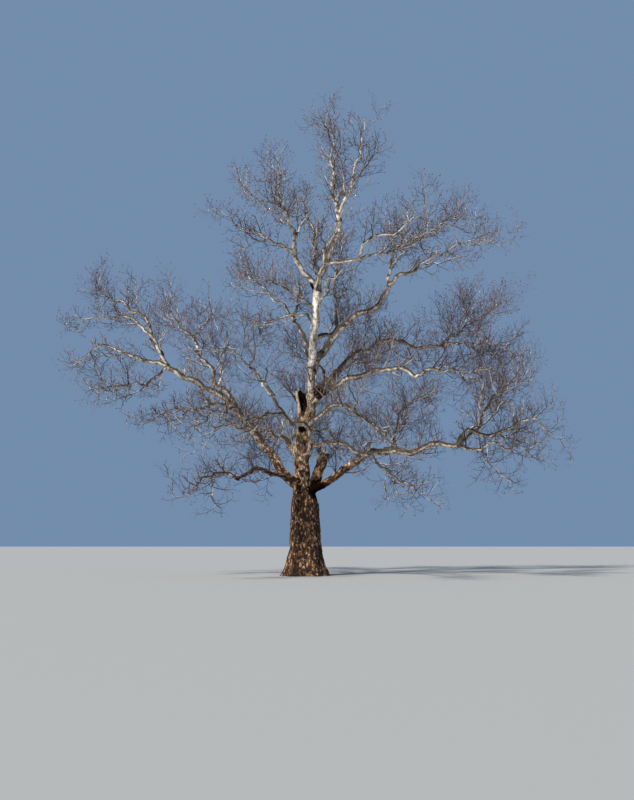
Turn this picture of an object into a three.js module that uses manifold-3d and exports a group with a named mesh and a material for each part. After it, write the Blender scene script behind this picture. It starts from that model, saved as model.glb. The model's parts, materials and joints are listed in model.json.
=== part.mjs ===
// A bare American sycamore (plane tree), rooted in level ground.
// Millimetres, +Z up. The origin lies on the ground, at the middle of the trunk's flat cut.
// The tables below are in metres and degrees. A bearing is turned anticlockwise from +X, seen from above,
// and a climb is measured up from level.

import * as THREE from 'three';
import { mergeVertices } from 'three/addons/utils/BufferGeometryUtils.js';
import Module from 'manifold-3d';

const wasm = await Module();
wasm.setup();

const MM_PER_M = 1000;
const GAP = 0.0003;

// The trunk: its length, the climb of each of its steps, and its half thickness at heights above the ground.
const TRUNK_LENGTH = 14.5;
const TRUNK_CLIMBS = [90, 90, 90, 92, 96, 93, 88, 81, 74, 85, 91, 87, 86, 86, 85, 86];
const TRUNK_GIRTH = [
  { height: 0, radius: 1.15 },
  { height: 0.5, radius: 0.94 },
  { height: 1.3, radius: 0.79 },
  { height: 3.5, radius: 0.68 },
  { height: 4.7, radius: 0.4 },
  { height: 7.2, radius: 0.37 },
  { height: 8.4, radius: 0.22 },
  { height: 14.5, radius: 0.19 },
];
const ROOT_LOBES = 6;
const ROOT_LOBE_DEPTH = 0.09;
const ROOT_LOBE_HEIGHT = 0.9;

// The boughs, each one tapering limb. It leaves its carrier some metres along it, or at the carrier's tip.
// The bearing swings evenly from the first value to the second, and each climb holds for an equal stretch.
const BOUGHS = {
  right_leader: { on: 'trunk', bearing: [22, 30], length: 4.2, radius: [0.17, 0.12],
    climbs: [75, 65, 81] },
  left_leader: { on: 'trunk', bearing: [-161, -164], length: 2.3, radius: [0.14, 0.11],
    climbs: [51, 62] },
  right_crown: { on: 'right_leader', at: 1.65, bearing: [-25, -26], length: 1.9, radius: [0.1, 0.085],
    climbs: [-6, 15] },
  right_high: { on: 'trunk', at: 10.3, bearing: [22, 15], length: 6.7, radius: [0.2, 0.12],
    climbs: [58, 56, 42, 21, 64] },
  right_mid: { on: 'trunk', at: 8.6, bearing: [-38, -32], length: 6.6, radius: [0.17, 0.09],
    climbs: [27, 17, 11, 5, -28] },
  right_back: { on: 'trunk', at: 9.1, bearing: [42, 11], length: 9.4, radius: [0.17, 0.085],
    climbs: [25, 61, 15, 38, -21, 7] },
  right_low: { on: 'trunk', at: 3.75, bearing: [-14, -6], length: 4.9, radius: [0.19, 0.17],
    climbs: [38, 33, 35, 12] },
  right_low_far: { on: 'right_low', bearing: [-14, 0], length: 3.8, radius: [0.165, 0.115],
    climbs: [-6, 23, -5] },
  front_right: { on: 'trunk', at: 7.3, bearing: [-38, -63], length: 4.4, radius: [0.13, 0.08],
    climbs: [35, 23, -7, -26] },
  front_low: { on: 'trunk', at: 5.9, bearing: [-55, -57], length: 5.2, radius: [0.11, 0.07],
    climbs: [21, -4, -9, -24] },
  left_low: { on: 'trunk', at: 4.2, bearing: [-175, -167], length: 5.5, radius: [0.25, 0.18],
    climbs: [40, 54, 56, 53] },
  left_low_far: { on: 'left_low', bearing: [-169, -174], length: 4.1, radius: [0.17, 0.125],
    climbs: [35, 25, 26] },
  front_left: { on: 'trunk', at: 5.9, bearing: [-30, -215], length: 3.6, radius: [0.12, 0.1],
    climbs: [11, 67, 48, 11, 41] },
  front_low_left: { on: 'trunk', at: 4.5, bearing: [-121, -125], length: 5.5, radius: [0.14, 0.08],
    climbs: [4, 9, 9, -27] },
  back_low: { on: 'trunk', at: 4.9, bearing: [102, 98], length: 5.4, radius: [0.2, 0.13],
    climbs: [38, 24, 10] },
  back_mid: { on: 'trunk', at: 7.5, bearing: [78, 72], length: 5.0, radius: [0.16, 0.1],
    climbs: [48, 36, 22] },
  back_high: { on: 'trunk', at: 11.0, bearing: [125, 118], length: 3.0, radius: [0.11, 0.08],
    climbs: [52, 46] },
};

// The two stubs of old broken stems, which end in a torn top and carry no twigs of their own.
// One is rotted hollow, and its hole is open towards a bearing.
const STUBS = {
  hollow: { on: 'trunk', at: 6.6, bearing: [182, 178], length: 2.7, radius: [0.24, 0.29],
    climbs: [86, 108, 89, 79], open: -95 },
  broken: { on: 'trunk', at: 3.7, bearing: [16, 20], length: 3.1, radius: [0.26, 0.24],
    climbs: [60, 73, 71, 53] },
};

// The masses of twigs: the stem of each, the half thickness of its foot, and how far its twigs reach from it.
const MASSES = {
  top_left: { on: 'right_leader', bearing: [110, 149], length: 7.1, radius: 0.115, reach: 2.2,
    climbs: [54, 94, 93, 66] },
  top_right: { on: 'right_leader', bearing: [-25, -67], length: 5.6, radius: 0.1, reach: 2.4,
    climbs: [63, 71, 65, 87] },
  crown_back: { on: 'trunk', bearing: [88, 125], length: 8.0, radius: 0.115, reach: 2.4,
    climbs: [59, 59, 58, 51] },
  left_stem: { on: 'left_leader', bearing: [147, 63], length: 6.9, radius: 0.1, reach: 2.2,
    climbs: [83, 39, 81, 84] },
  left_arm: { on: 'left_leader', bearing: [-99, -160], length: 5.8, radius: 0.085, reach: 2.4,
    climbs: [82, 48, 7, -5, 59] },
  left_reach: { on: 'left_leader', bearing: [-168, -159], length: 4.4, radius: 0.09, reach: 2.2,
    climbs: [36, 21, 23, 22] },
  right_crown_up: { on: 'right_crown', bearing: [-38, 6], length: 5.2, radius: 0.085, reach: 2.6,
    climbs: [48, 29, 16, -8, 62, 62] },
  right_crown_out: { on: 'right_crown', bearing: [24, 31], length: 7.3, radius: 0.075, reach: 2.4,
    climbs: [10, 40, 18, 36] },
  right_high_out: { on: 'right_high', bearing: [17, 2], length: 7.4, radius: 0.105, reach: 2.4,
    climbs: [37, 29, 28, 6, -15] },
  right_high_up: { on: 'right_high', bearing: [65, 13], length: 9.7, radius: 0.08, reach: 2.6,
    climbs: [65, 28, 20, 19, 30] },
  right_stem: { on: 'trunk', at: 11.9, bearing: [53, 84], length: 9.0, radius: 0.12, reach: 2.2,
    climbs: [13, 111, 55, 59] },
  right_mid_out: { on: 'right_mid', bearing: [-39, -31], length: 4.1, radius: 0.09, reach: 2.8,
    climbs: [1, 6, -27, -1] },
  right_back_out: { on: 'right_back', bearing: [32, 34], length: 5.7, radius: 0.085, reach: 2.6,
    climbs: [13, 3, -2, -38] },
  right_back_up: { on: 'right_back', bearing: [50, 37], length: 6.5, radius: 0.075, reach: 3.0,
    climbs: [27, 37, 29] },
  right_low_out: { on: 'right_low_far', bearing: [3, -7], length: 6.2, radius: 0.115, reach: 2.4,
    climbs: [57, -30, 24, 36, -33, -27] },
  right_low_up: { on: 'right_low_far', bearing: [33, 60], length: 7.7, radius: 0.09, reach: 2.8,
    climbs: [32, 51, 27, 24] },
  right_low_under: { on: 'right_low_far', bearing: [-60, -59], length: 5.7, radius: 0.085, reach: 2.4,
    climbs: [-18, 21, -15, -10] },
  right_low_inner: { on: 'right_low', bearing: [81, 12], length: 5.7, radius: 0.08, reach: 2.6,
    climbs: [15, 69, 47, 22] },
  front_right_out: { on: 'front_right', bearing: [-68, -74], length: 6.5, radius: 0.08, reach: 2.6,
    climbs: [-20, -25, -32] },
  front_low_out: { on: 'front_low', bearing: [-55, -71], length: 6.2, radius: 0.075, reach: 2.2,
    climbs: [-29, -23, -23] },
  left_low_out: { on: 'left_low_far', bearing: [-153, -173], length: 5.2, radius: 0.105, reach: 2.2,
    climbs: [4, 32, -6, -39] },
  left_low_up: { on: 'left_low_far', bearing: [147, 156], length: 6.9, radius: 0.105, reach: 2.3,
    climbs: [51, 56, 48, 38, 22] },
  left_low_under: { on: 'left_low_far', bearing: [-118, -141], length: 5.8, radius: 0.075, reach: 2.2,
    climbs: [-50, -8, -14, -15] },
  left_low_back: { on: 'left_low', bearing: [155, 125], length: 9.0, radius: 0.115, reach: 3.2,
    climbs: [49, 51, 51, 43, 28] },
  left_low_hang: { on: 'left_low', bearing: [-93, -128], length: 5.7, radius: 0.075, reach: 2.4,
    climbs: [-15, -9, -18, -36] },
  front_left_out: { on: 'front_left', bearing: [-124, -93], length: 8.8, radius: 0.08, reach: 2.6,
    climbs: [-13, -20, -5, -26] },
  front_left_up: { on: 'front_left', bearing: [-130, -112], length: 6.8, radius: 0.09, reach: 3.2,
    climbs: [50, 34, 14, 28] },
  front_low_left_out: { on: 'front_low_left', bearing: [-139, -91], length: 4.3, radius: 0.08, reach: 2.2,
    climbs: [1, -19, -23] },
  left_mid: { on: 'trunk', at: 12.7, bearing: [139, 131], length: 6.1, radius: 0.075, reach: 2.6,
    climbs: [28, -11, -11, 30] },
  left_mid_front: { on: 'trunk', at: 13.5, bearing: [-126, -122], length: 5.5, radius: 0.07, reach: 2.2,
    climbs: [12, 12, -8, 7] },
  back_low_left: { on: 'back_low', bearing: [128, 118], length: 6.6, radius: 0.115, reach: 2.8,
    climbs: [22, 10, -5, -12] },
  back_low_right: { on: 'back_low', bearing: [62, 58], length: 6.6, radius: 0.105, reach: 2.8,
    climbs: [30, 12, 0, -10] },
  back_mid_left: { on: 'back_mid', bearing: [108, 104], length: 6.2, radius: 0.09, reach: 2.8,
    climbs: [45, 30, 15, 8] },
  back_mid_right: { on: 'back_mid', bearing: [42, 55], length: 6.2, radius: 0.085, reach: 2.6,
    climbs: [34, 24, 12, 0] },
  back_high_left: { on: 'back_high', bearing: [158, 150], length: 5.2, radius: 0.075, reach: 2.8,
    climbs: [45, 35, 25] },
  back_high_right: { on: 'back_high', bearing: [82, 88], length: 5.2, radius: 0.075, reach: 2.6,
    climbs: [50, 38, 28] },
  front_high: { on: 'trunk', at: 11.2, bearing: [-78, -74], length: 6.6, radius: 0.09, reach: 2.8,
    climbs: [50, 35, 20, 15] },
  front_crown: { on: 'trunk', at: 14.0, bearing: [-72, -66], length: 6.2, radius: 0.08, reach: 2.4,
    climbs: [62, 52, 42, 36] },
  left_low_fan: { on: 'left_low_far', bearing: [-160, -176], length: 6.1, radius: 0.085, reach: 2.2,
    climbs: [60, 50, 16, 5, -28] },
  left_low_side: { on: 'left_low', bearing: [-148, -160], length: 5.0, radius: 0.085, reach: 2.4,
    climbs: [8, -14, -6, -20] },
};

// The twigs of a mass grow in orders, each order from the twigs of the one before.
// They stand a spacing apart, lean out by an angle, and are some share of what carries them in length.
const ORDERS = [
  { spacing: 1.22, lean: 54, share: 0.98, shortening: 0.38, steps: 2 },
  { spacing: 1.7, lean: 46, share: 0.6, shortening: 0.3, steps: 1 },
];
// The first twig stands this share along its carrier. Each twig keeps near the middle of its own stretch.
const FIRST_TWIG = 0.07;
const PLACE = 0.35;
const PLACE_SPREAD = 0.5;
const TURN = 137.5;
const TURN_SPREAD = 60;
const LEAN_SPREAD = 26;
const LENGTH_SPREAD = 0.5;
const LIFT = 0.3;
const TWIG_WAVER = 16;
const SHORTER = [1, 0.72, 0.5];
const TWIG_THICKNESS = 0.5;
const THINNEST = 0.009;
const TWIG_TIP = 0.35;

// What a twig keeps: a distance from every limb, its own side of the line to the next mass, and the ground.
// The trunk's thickness is taken for this at one share of its height, above the flare.
const LIMB_CLEARANCE = 0.03;
const TRUNK_GUARD = 0.1;
const MASS_CLEARANCE = 0.04;
const GROUND_CLEARANCE = 0.6;

// How a limb is drawn: the length of a step, its crookedness in degrees, and the swelling where it is borne.
// A limb borne by a tip sets out some tip radii below it, and a stem's taper is slow at first.
const FEWEST_STEPS = 2;
const TIP_SINK = 0.5;
const TRUNK_STEP = 0.9;
const TRUNK_SIDES = 18;
const BOUGH_STEP = 0.8;
const BOUGH_SIDES = 7;
const BOUGH_WAVER = 12;
const STEM_STEP = 0.95;
const STEM_SIDES = 4;
const STEM_WAVER = 18;
const STEM_TAPER = 1.3;
const COLLAR = 0.4;
const COLLAR_LENGTH = 2.2;

// The slanting cut across a stub: how much of the top it takes, its slant about X and Y, and its rise.
const TORN_DEPTH = 0.55;
const TORN_SLANT = [24, -30];
const TORN_RISE = 0.42;

// The hole in a hollow stub: its width and its shift to the open side as shares of the stub's thickness, and the
// share of the stub's height where it starts.
const HOLE_WIDTH = 0.72;
const HOLE_SHIFT = 0.5;
const HOLE_START = 0.45;

const FINISHES = {
  old_bark: { color: 0x7a5238, roughness: 0.95, metalness: 0 },
  pale_bark: { color: 0xc9bda6, roughness: 0.8, metalness: 0 },
  twig_bark: { color: 0x77626a, roughness: 0.85, metalness: 0 },
};
const RUSTY_BOUGHS = ['right_low', 'left_low', 'front_low_left', 'front_low', 'hollow', 'broken'];

// A number from 0 to 1 that is always the same for the same three whole numbers.
const MIX = [0x9e3779b1, 0x85ebca6b, 0xc2b2ae35, 0x2c1b3c6d, 0x297a2d39];
function chance(seed, item, draw) {
  let h = Math.imul(seed + 1, MIX[0]) ^ Math.imul(item + 1, MIX[1]) ^ Math.imul(draw + 1, MIX[2]);
  h = Math.imul(h ^ (h >>> 15), MIX[3]);
  h = Math.imul(h ^ (h >>> 12), MIX[4]);
  return ((h ^ (h >>> 15)) >>> 0) / 2 ** 32;
}

const radians = THREE.MathUtils.degToRad;
const lerp = THREE.MathUtils.lerp;

function heading(bearing, climb) {
  const b = radians(bearing);
  const c = radians(climb);
  return new THREE.Vector3(Math.cos(c) * Math.cos(b), Math.cos(c) * Math.sin(b), Math.sin(c));
}

// The value of a list at a share of its way, where each item stands at the middle of an equal stretch.
function along(list, share) {
  const place = THREE.MathUtils.clamp(share * list.length - 0.5, 0, list.length - 1);
  const first = Math.min(Math.floor(place), list.length - 2);
  return lerp(list[first], list[first + 1], place - first);
}

// The middle line of a limb, walked in equal steps that waver to one side and then to the other.
function limbLine(foot, limb, step, waver, seed) {
  const steps = Math.max(FEWEST_STEPS, Math.round(limb.length / step));
  const line = [foot.clone()];
  for (let i = 0; i < steps; i += 1) {
    const share = (i + 0.5) / steps;
    const side = i % 2 === 0 ? 1 : -1;
    const climb = along(limb.climbs, share) + side * waver * chance(seed, i, 0);
    const bearing = lerp(limb.bearing[0], limb.bearing[1], share) - side * waver * chance(seed, i, 1);
    line.push(line[i].clone().addScaledVector(heading(bearing, climb), limb.length / steps));
  }
  return line;
}

// Which stretch of a line a share of its way falls on, and how far along that stretch.
function stretchAt(line, share) {
  const place = THREE.MathUtils.clamp(share, 0, 1) * (line.length - 1);
  const first = Math.min(Math.floor(place), line.length - 2);
  return { first, part: place - first };
}

function pointOn(line, share) {
  const { first, part } = stretchAt(line, share);
  return line[first].clone().lerp(line[first + 1], part);
}

function headingOn(line, share) {
  const { first } = stretchAt(line, share);
  return line[first + 1].clone().sub(line[first]).normalize();
}

// Each station of a line with the way it faces and two directions across it, carried along without a twist.
function sections(line) {
  const rings = [];
  const start = headingOn(line, 0);
  const sideways = Math.abs(start.x) > Math.abs(start.z);
  let across = sideways ? new THREE.Vector3(0, 1, 0) : new THREE.Vector3(1, 0, 0);
  for (let i = 0; i < line.length; i += 1) {
    const before = line[Math.max(i - 1, 0)];
    const after = line[Math.min(i + 1, line.length - 1)];
    const facing = after.clone().sub(before).normalize();
    across = across.clone().addScaledVector(facing, -across.dot(facing)).normalize();
    rings.push({ centre: line[i], across, other: across.clone().cross(facing) });
  }
  return rings;
}

// A closed tapering tube whose rings are moved onto the line: a cylinder, or a cone where it ends in a point.
function tube(line, radiusAt, sides, pointed) {
  const steps = line.length - 1;
  const shape = pointed
    ? new THREE.ConeGeometry(1, 1, sides, steps)
    : new THREE.CylinderGeometry(1, 1, 1, sides, steps);
  const rings = sections(line);
  const place = shape.attributes.position;
  const vertex = new THREE.Vector3();
  for (let i = 0; i < place.count; i += 1) {
    vertex.fromBufferAttribute(place, i);
    const ring = Math.round((vertex.y + 0.5) * steps);
    const out = Math.hypot(vertex.x, vertex.z);
    const angle = Math.atan2(vertex.z, vertex.x);
    const scale = out > 0 ? radiusAt(ring / steps, angle) / out : 0;
    const { centre, across, other } = rings[ring];
    const moved = centre.clone()
      .addScaledVector(across, vertex.x * scale)
      .addScaledVector(other, vertex.z * scale)
      .multiplyScalar(MM_PER_M);
    place.setXYZ(i, moved.x, moved.y, moved.z);
  }
  return solid(shape);
}

function solid(geometry) {
  geometry.deleteAttribute('normal');
  geometry.deleteAttribute('uv');
  const merged = mergeVertices(geometry);
  return new wasm.Manifold(new wasm.Mesh({
    numProp: 3,
    vertProperties: Float32Array.from(merged.attributes.position.array),
    triVerts: Uint32Array.from(merged.index.array),
  }));
}

function largest(shape) {
  return shape.decompose().reduce((best, body) => (body.volume() > best.volume() ? body : best));
}

function trunkRadius(share, angle) {
  const height = share * TRUNK_LENGTH;
  const high = TRUNK_GIRTH.slice(1).find((row) => row.height >= height) ?? TRUNK_GIRTH.at(-1);
  const low = TRUNK_GIRTH[TRUNK_GIRTH.indexOf(high) - 1];
  const radius = lerp(low.radius, high.radius, (height - low.height) / (high.height - low.height));
  const lobe = ROOT_LOBE_DEPTH * Math.exp(-height / ROOT_LOBE_HEIGHT) * Math.cos(ROOT_LOBES * angle);
  return radius * (1 + lobe);
}

// Half thickness of a bough: an even taper, with a collar that dies away in a few thicknesses.
function boughRadius(limb) {
  return (share) => {
    const [foot, tip] = limb.radius;
    const collar = COLLAR * Math.exp((-share * limb.length) / (COLLAR_LENGTH * foot));
    return lerp(foot, tip, share) * (1 + collar);
  };
}

function stemRadius(limb) {
  return (share) => {
    const collar = COLLAR * Math.exp((-share * limb.length) / (COLLAR_LENGTH * limb.radius));
    return lerp(limb.radius, THINNEST, share ** STEM_TAPER) * (1 + collar);
  };
}

// The trunk's first ring lies level, so that its foot is a flat cut on the ground.
function trunkLine() {
  const trunk = { length: TRUNK_LENGTH, climbs: TRUNK_CLIMBS, bearing: [0, 0] };
  const line = limbLine(new THREE.Vector3(), trunk, TRUNK_STEP, 0, 0);
  line[1].set(0, 0, line[1].z);
  return line;
}

const limbs = {};
limbs.trunk = {
  line: trunkLine(),
  length: TRUNK_LENGTH,
  radiusAt: trunkRadius,
  sides: TRUNK_SIDES,
  tip: TRUNK_GIRTH.at(-1).radius,
  finish: 'old_bark',
};

// A limb sets out from inside its carrier, so the cut below leaves a snug foot.
function footOf(limb) {
  const carrier = limbs[limb.on];
  const place = limb.at ?? carrier.length - TIP_SINK * carrier.tip;
  return pointOn(carrier.line, place / carrier.length);
}

let seed = 0;
for (const [name, limb] of Object.entries({ ...BOUGHS, ...STUBS })) {
  seed += 1;
  limbs[name] = {
    ...limb,
    line: limbLine(footOf(limb), limb, BOUGH_STEP, BOUGH_WAVER, seed),
    radiusAt: boughRadius(limb),
    sides: BOUGH_SIDES,
    tip: limb.radius[1],
    torn: name in STUBS,
    finish: RUSTY_BOUGHS.includes(name) ? 'old_bark' : 'pale_bark',
  };
}

const masses = {};
for (const [name, limb] of Object.entries(MASSES)) {
  seed += 1;
  masses[name] = {
    ...limb,
    seed,
    line: limbLine(footOf(limb), limb, STEM_STEP, STEM_WAVER, seed),
    radiusAt: stemRadius(limb),
    sides: STEM_SIDES,
    pointed: true,
    finish: 'twig_bark',
  };
}

// A limb as a solid, or grown by the gap on every side when it is to be cut out of a neighbour.
function limbSolid(limb, gap) {
  const grown = gap / Math.cos(Math.PI / limb.sides);
  const line = limb.line.map((point) => point.clone());
  if (gap > 0) {
    line[0].addScaledVector(headingOn(line, 0), -gap);
    line.at(-1).addScaledVector(headingOn(line, 1), gap);
  }
  const radiusAt = (share, angle) => limb.radiusAt(share, angle) + grown;
  return tube(line, radiusAt, limb.sides, limb.pointed);
}

// The torn top of a stub: a slanting cut that leaves one side higher.
function tear(limb, shape) {
  const end = limb.line.at(-1).clone().multiplyScalar(MM_PER_M);
  const size = TORN_DEPTH * MM_PER_M;
  const block = new THREE.BoxGeometry(size * 2, size * 2, size);
  block.rotateX(radians(TORN_SLANT[0]));
  block.rotateY(radians(TORN_SLANT[1]));
  block.translate(end.x, end.y, end.z + size * TORN_RISE);
  return largest(shape.subtract(solid(block)));
}

// The hole of a hollow stub: a narrower tube beside its line, which comes out at the top and on one side.
function hole(limb) {
  const shift = heading(limb.open, 0).multiplyScalar(HOLE_SHIFT * limb.tip);
  const line = [pointOn(limb.line, HOLE_START), pointOn(limb.line, 1)].map((point) => point.add(shift));
  line[1].z += limb.tip;
  return tube(line, () => HOLE_WIDTH * limb.tip, limb.sides, false);
}

// A limb stands clear of its carrier and of each limb that left the same carrier before it.
function fitted(name, limb, shape) {
  const earlier = [];
  for (const [other, neighbour] of [...Object.entries(limbs), ...Object.entries(masses)]) {
    if (other === name && neighbour === limb) {
      break;
    }
    if (other === limb.on || neighbour.on === limb.on) {
      earlier.push(limbSolid(neighbour, GAP));
    }
  }
  return largest(shape.subtract(wasm.Manifold.union(earlier)));
}

function distanceToLine(point, line) {
  let least = Infinity;
  const span = new THREE.Line3();
  const nearest = new THREE.Vector3();
  for (let i = 1; i < line.length; i += 1) {
    span.set(line[i - 1], line[i]).closestPointToPoint(point, true, nearest);
    least = Math.min(least, nearest.distanceTo(point));
  }
  return least;
}

// Whether a twig stays within its mass's reach, on its own side of every other stem, and off the limbs.
function keepsClear(line, radius, mass) {
  for (let k = 1; k <= 2 * (line.length - 1); k += 1) {
    const point = pointOn(line, k / (2 * (line.length - 1)));
    const own = distanceToLine(point, mass.line);
    if (own > mass.reach || point.z < GROUND_CLEARANCE) {
      return false;
    }
    for (const other of Object.values(masses)) {
      if (other !== mass && distanceToLine(point, other.line) < own + other.radius + MASS_CLEARANCE) {
        return false;
      }
    }
    for (const limb of Object.values(limbs)) {
      const thick = limb === limbs.trunk ? trunkRadius(TRUNK_GUARD, 0) : limb.radius[0];
      if (distanceToLine(point, limb.line) < thick + radius + LIMB_CLEARANCE) {
        return false;
      }
    }
  }
  return true;
}

// One twig: it leaves its carrier at a lean, turned round it, and curves up as it grows.
function twigLine(carrier, share, order, item, mass, length) {
  const facing = headingOn(carrier.line, share);
  const side = new THREE.Vector3(0, 0, 1).cross(facing).normalize();
  const turn = TURN * item + TURN_SPREAD * (chance(mass.seed, item, 2) - 0.5);
  const lean = order.lean + LEAN_SPREAD * (chance(mass.seed, item, 3) - 0.5);
  side.applyAxisAngle(facing, radians(turn));
  const way = facing.multiplyScalar(Math.cos(radians(lean))).addScaledVector(side, Math.sin(radians(lean)));
  const line = [pointOn(carrier.line, share)];
  for (let i = 0; i < order.steps; i += 1) {
    const swing = radians(TWIG_WAVER * (2 * chance(mass.seed, item, 4 + i) - 1));
    way.applyAxisAngle(side, swing);
    way.z += LIFT;
    way.normalize();
    line.push(line[i].clone().addScaledVector(way, length / order.steps));
  }
  return line;
}

function growMass(name, mass) {
  const tubes = [limbSolid(mass, 0)];
  let carriers = [mass];
  let item = 0;
  for (const order of ORDERS) {
    const grown = [];
    for (const carrier of carriers) {
      const count = Math.max(1, Math.round(carrier.length / order.spacing));
      for (let i = 0; i < count; i += 1) {
        item += 1;
        const place = (i + PLACE + PLACE_SPREAD * chance(mass.seed, item, 0)) / count;
        const share = lerp(FIRST_TWIG, 1, place);
        const base = carrier === mass ? mass.reach : carrier.length;
        const vary = 1 + LENGTH_SPREAD * (chance(mass.seed, item, 1) - 0.5);
        const length = base * order.share * (1 - order.shortening * share) * vary;
        const radius = Math.max(THINNEST, TWIG_THICKNESS * carrier.radiusAt(share));
        const radiusAt = (way) => lerp(radius, radius * TWIG_TIP, way);
        const fit = SHORTER.map((less) => twigLine(carrier, share, order, item, mass, length * less))
          .find((line) => keepsClear(line, radius, mass));
        if (fit) {
          tubes.push(tube(fit, radiusAt, 3, true));
          grown.push({ line: fit, length: fit[0].distanceTo(fit.at(-1)), radiusAt });
        }
      }
    }
    carriers = grown;
  }
  return largest(wasm.Manifold.union(tubes));
}

function mesh(name, shape, finish) {
  const { vertProperties, triVerts } = shape.getMesh();
  const geometry = new THREE.BufferGeometry();
  geometry.setAttribute('position', new THREE.BufferAttribute(Float32Array.from(vertProperties), 3));
  geometry.setIndex(new THREE.BufferAttribute(Uint32Array.from(triVerts), 1));
  geometry.computeVertexNormals();
  const result = new THREE.Mesh(geometry, new THREE.MeshStandardMaterial(FINISHES[finish]));
  result.name = name;
  return result;
}

const tree = new THREE.Group();
for (const [name, limb] of Object.entries(limbs)) {
  let shape = limbSolid(limb, 0);
  if (name !== 'trunk') {
    shape = fitted(name, limb, shape);
  }
  if (limb.open) {
    shape = shape.subtract(hole(limb));
  }
  if (limb.torn) {
    shape = tear(limb, shape);
  }
  const kind = limb.torn ? 'stub_' : 'bough_';
  tree.add(mesh(name === 'trunk' ? 'trunk' : kind + name, shape, limb.finish));
}
for (const [name, mass] of Object.entries(masses)) {
  tree.add(mesh(`twigs_${name}`, fitted(name, mass, growMass(name, mass)), mass.finish));
}

export default tree;
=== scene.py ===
# %% [markdown]
# # A bare plane tree, grown from a table of limbs
#
# The tree is an old American sycamore, a plane tree, as it stands in winter: a rust-brown trunk, pale crooked
# limbs, and a haze of fine twigs that hold last year's seed balls. The frame gives its trunk, boughs and twig
# masses as plain solids at their real size. This lesson gives each of them its bark and its finer twigs.
# Everything here is in metres, +Z is up, and the origin is on the ground under the trunk.

# %% The frame and its box
import json
import math

import bpy
import numpy as np
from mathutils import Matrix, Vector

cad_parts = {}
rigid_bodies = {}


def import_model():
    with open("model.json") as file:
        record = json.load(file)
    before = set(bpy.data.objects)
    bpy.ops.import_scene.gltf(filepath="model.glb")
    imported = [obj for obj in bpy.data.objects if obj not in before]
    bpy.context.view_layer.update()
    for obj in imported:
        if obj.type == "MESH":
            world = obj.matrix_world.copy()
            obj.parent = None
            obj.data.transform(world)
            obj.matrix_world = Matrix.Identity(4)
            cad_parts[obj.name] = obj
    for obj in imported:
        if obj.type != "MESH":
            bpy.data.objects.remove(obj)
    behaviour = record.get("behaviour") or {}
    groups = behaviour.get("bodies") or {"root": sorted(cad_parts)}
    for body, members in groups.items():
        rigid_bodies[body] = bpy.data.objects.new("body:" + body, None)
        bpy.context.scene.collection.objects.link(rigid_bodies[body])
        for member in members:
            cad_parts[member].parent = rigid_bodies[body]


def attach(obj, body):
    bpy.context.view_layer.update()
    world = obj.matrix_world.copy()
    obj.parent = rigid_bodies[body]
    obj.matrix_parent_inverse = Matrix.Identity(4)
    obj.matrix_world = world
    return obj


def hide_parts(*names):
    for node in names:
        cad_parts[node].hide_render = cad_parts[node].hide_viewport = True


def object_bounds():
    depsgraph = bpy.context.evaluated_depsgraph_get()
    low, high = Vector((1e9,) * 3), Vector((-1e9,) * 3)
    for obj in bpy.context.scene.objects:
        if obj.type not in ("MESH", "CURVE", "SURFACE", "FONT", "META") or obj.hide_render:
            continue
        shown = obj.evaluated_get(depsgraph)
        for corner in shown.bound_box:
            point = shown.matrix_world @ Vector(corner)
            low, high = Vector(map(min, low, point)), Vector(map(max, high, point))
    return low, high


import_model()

cad_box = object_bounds()
print("frame box", [round(side, 2) for side in cad_box[1] - cad_box[0]])

# %% [markdown]
# ## The limbs as a table
#
# A limb can be drawn by hand as a list of points, but a table of how it grows is shorter and easier to
# change. Each limb leaves a carrier at a distance along it, or at its tip. It has a bearing, turned
# anticlockwise from +X seen from above, and a list of climbs in degrees above level, spread evenly over its
# length. The numbers are the ones that the solids were made with, so both follow the same lines.

# %% Trunk
TRUNK_LENGTH = 14.5
TRUNK_CLIMBS = [90, 90, 90, 92, 96, 93, 88, 81, 74, 85, 91, 87, 86, 86, 85, 86]
TRUNK_HEIGHTS = [0, 0.5, 1.3, 3.5, 4.7, 7.2, 8.4, 14.5]
TRUNK_RADII = [1.15, 0.94, 0.79, 0.68, 0.4, 0.37, 0.22, 0.19]
ROOT_LOBES = 6
ROOT_LOBE_DEPTH = 0.09
ROOT_LOBE_HEIGHT = 0.9
print("trunk", TRUNK_LENGTH, "m long,", 2 * TRUNK_RADII[0], "m across at the ground")


# %% Boughs and stubs
def limb(on, bearing, climbs, length, radius, at=None, reach=2.4):
    """One row of the table: what carries the limb and where, how it heads, its length and its thickness."""
    return dict(on=on, at=at, bearing=bearing, climbs=climbs, length=length, radius=radius, reach=reach)


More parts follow.
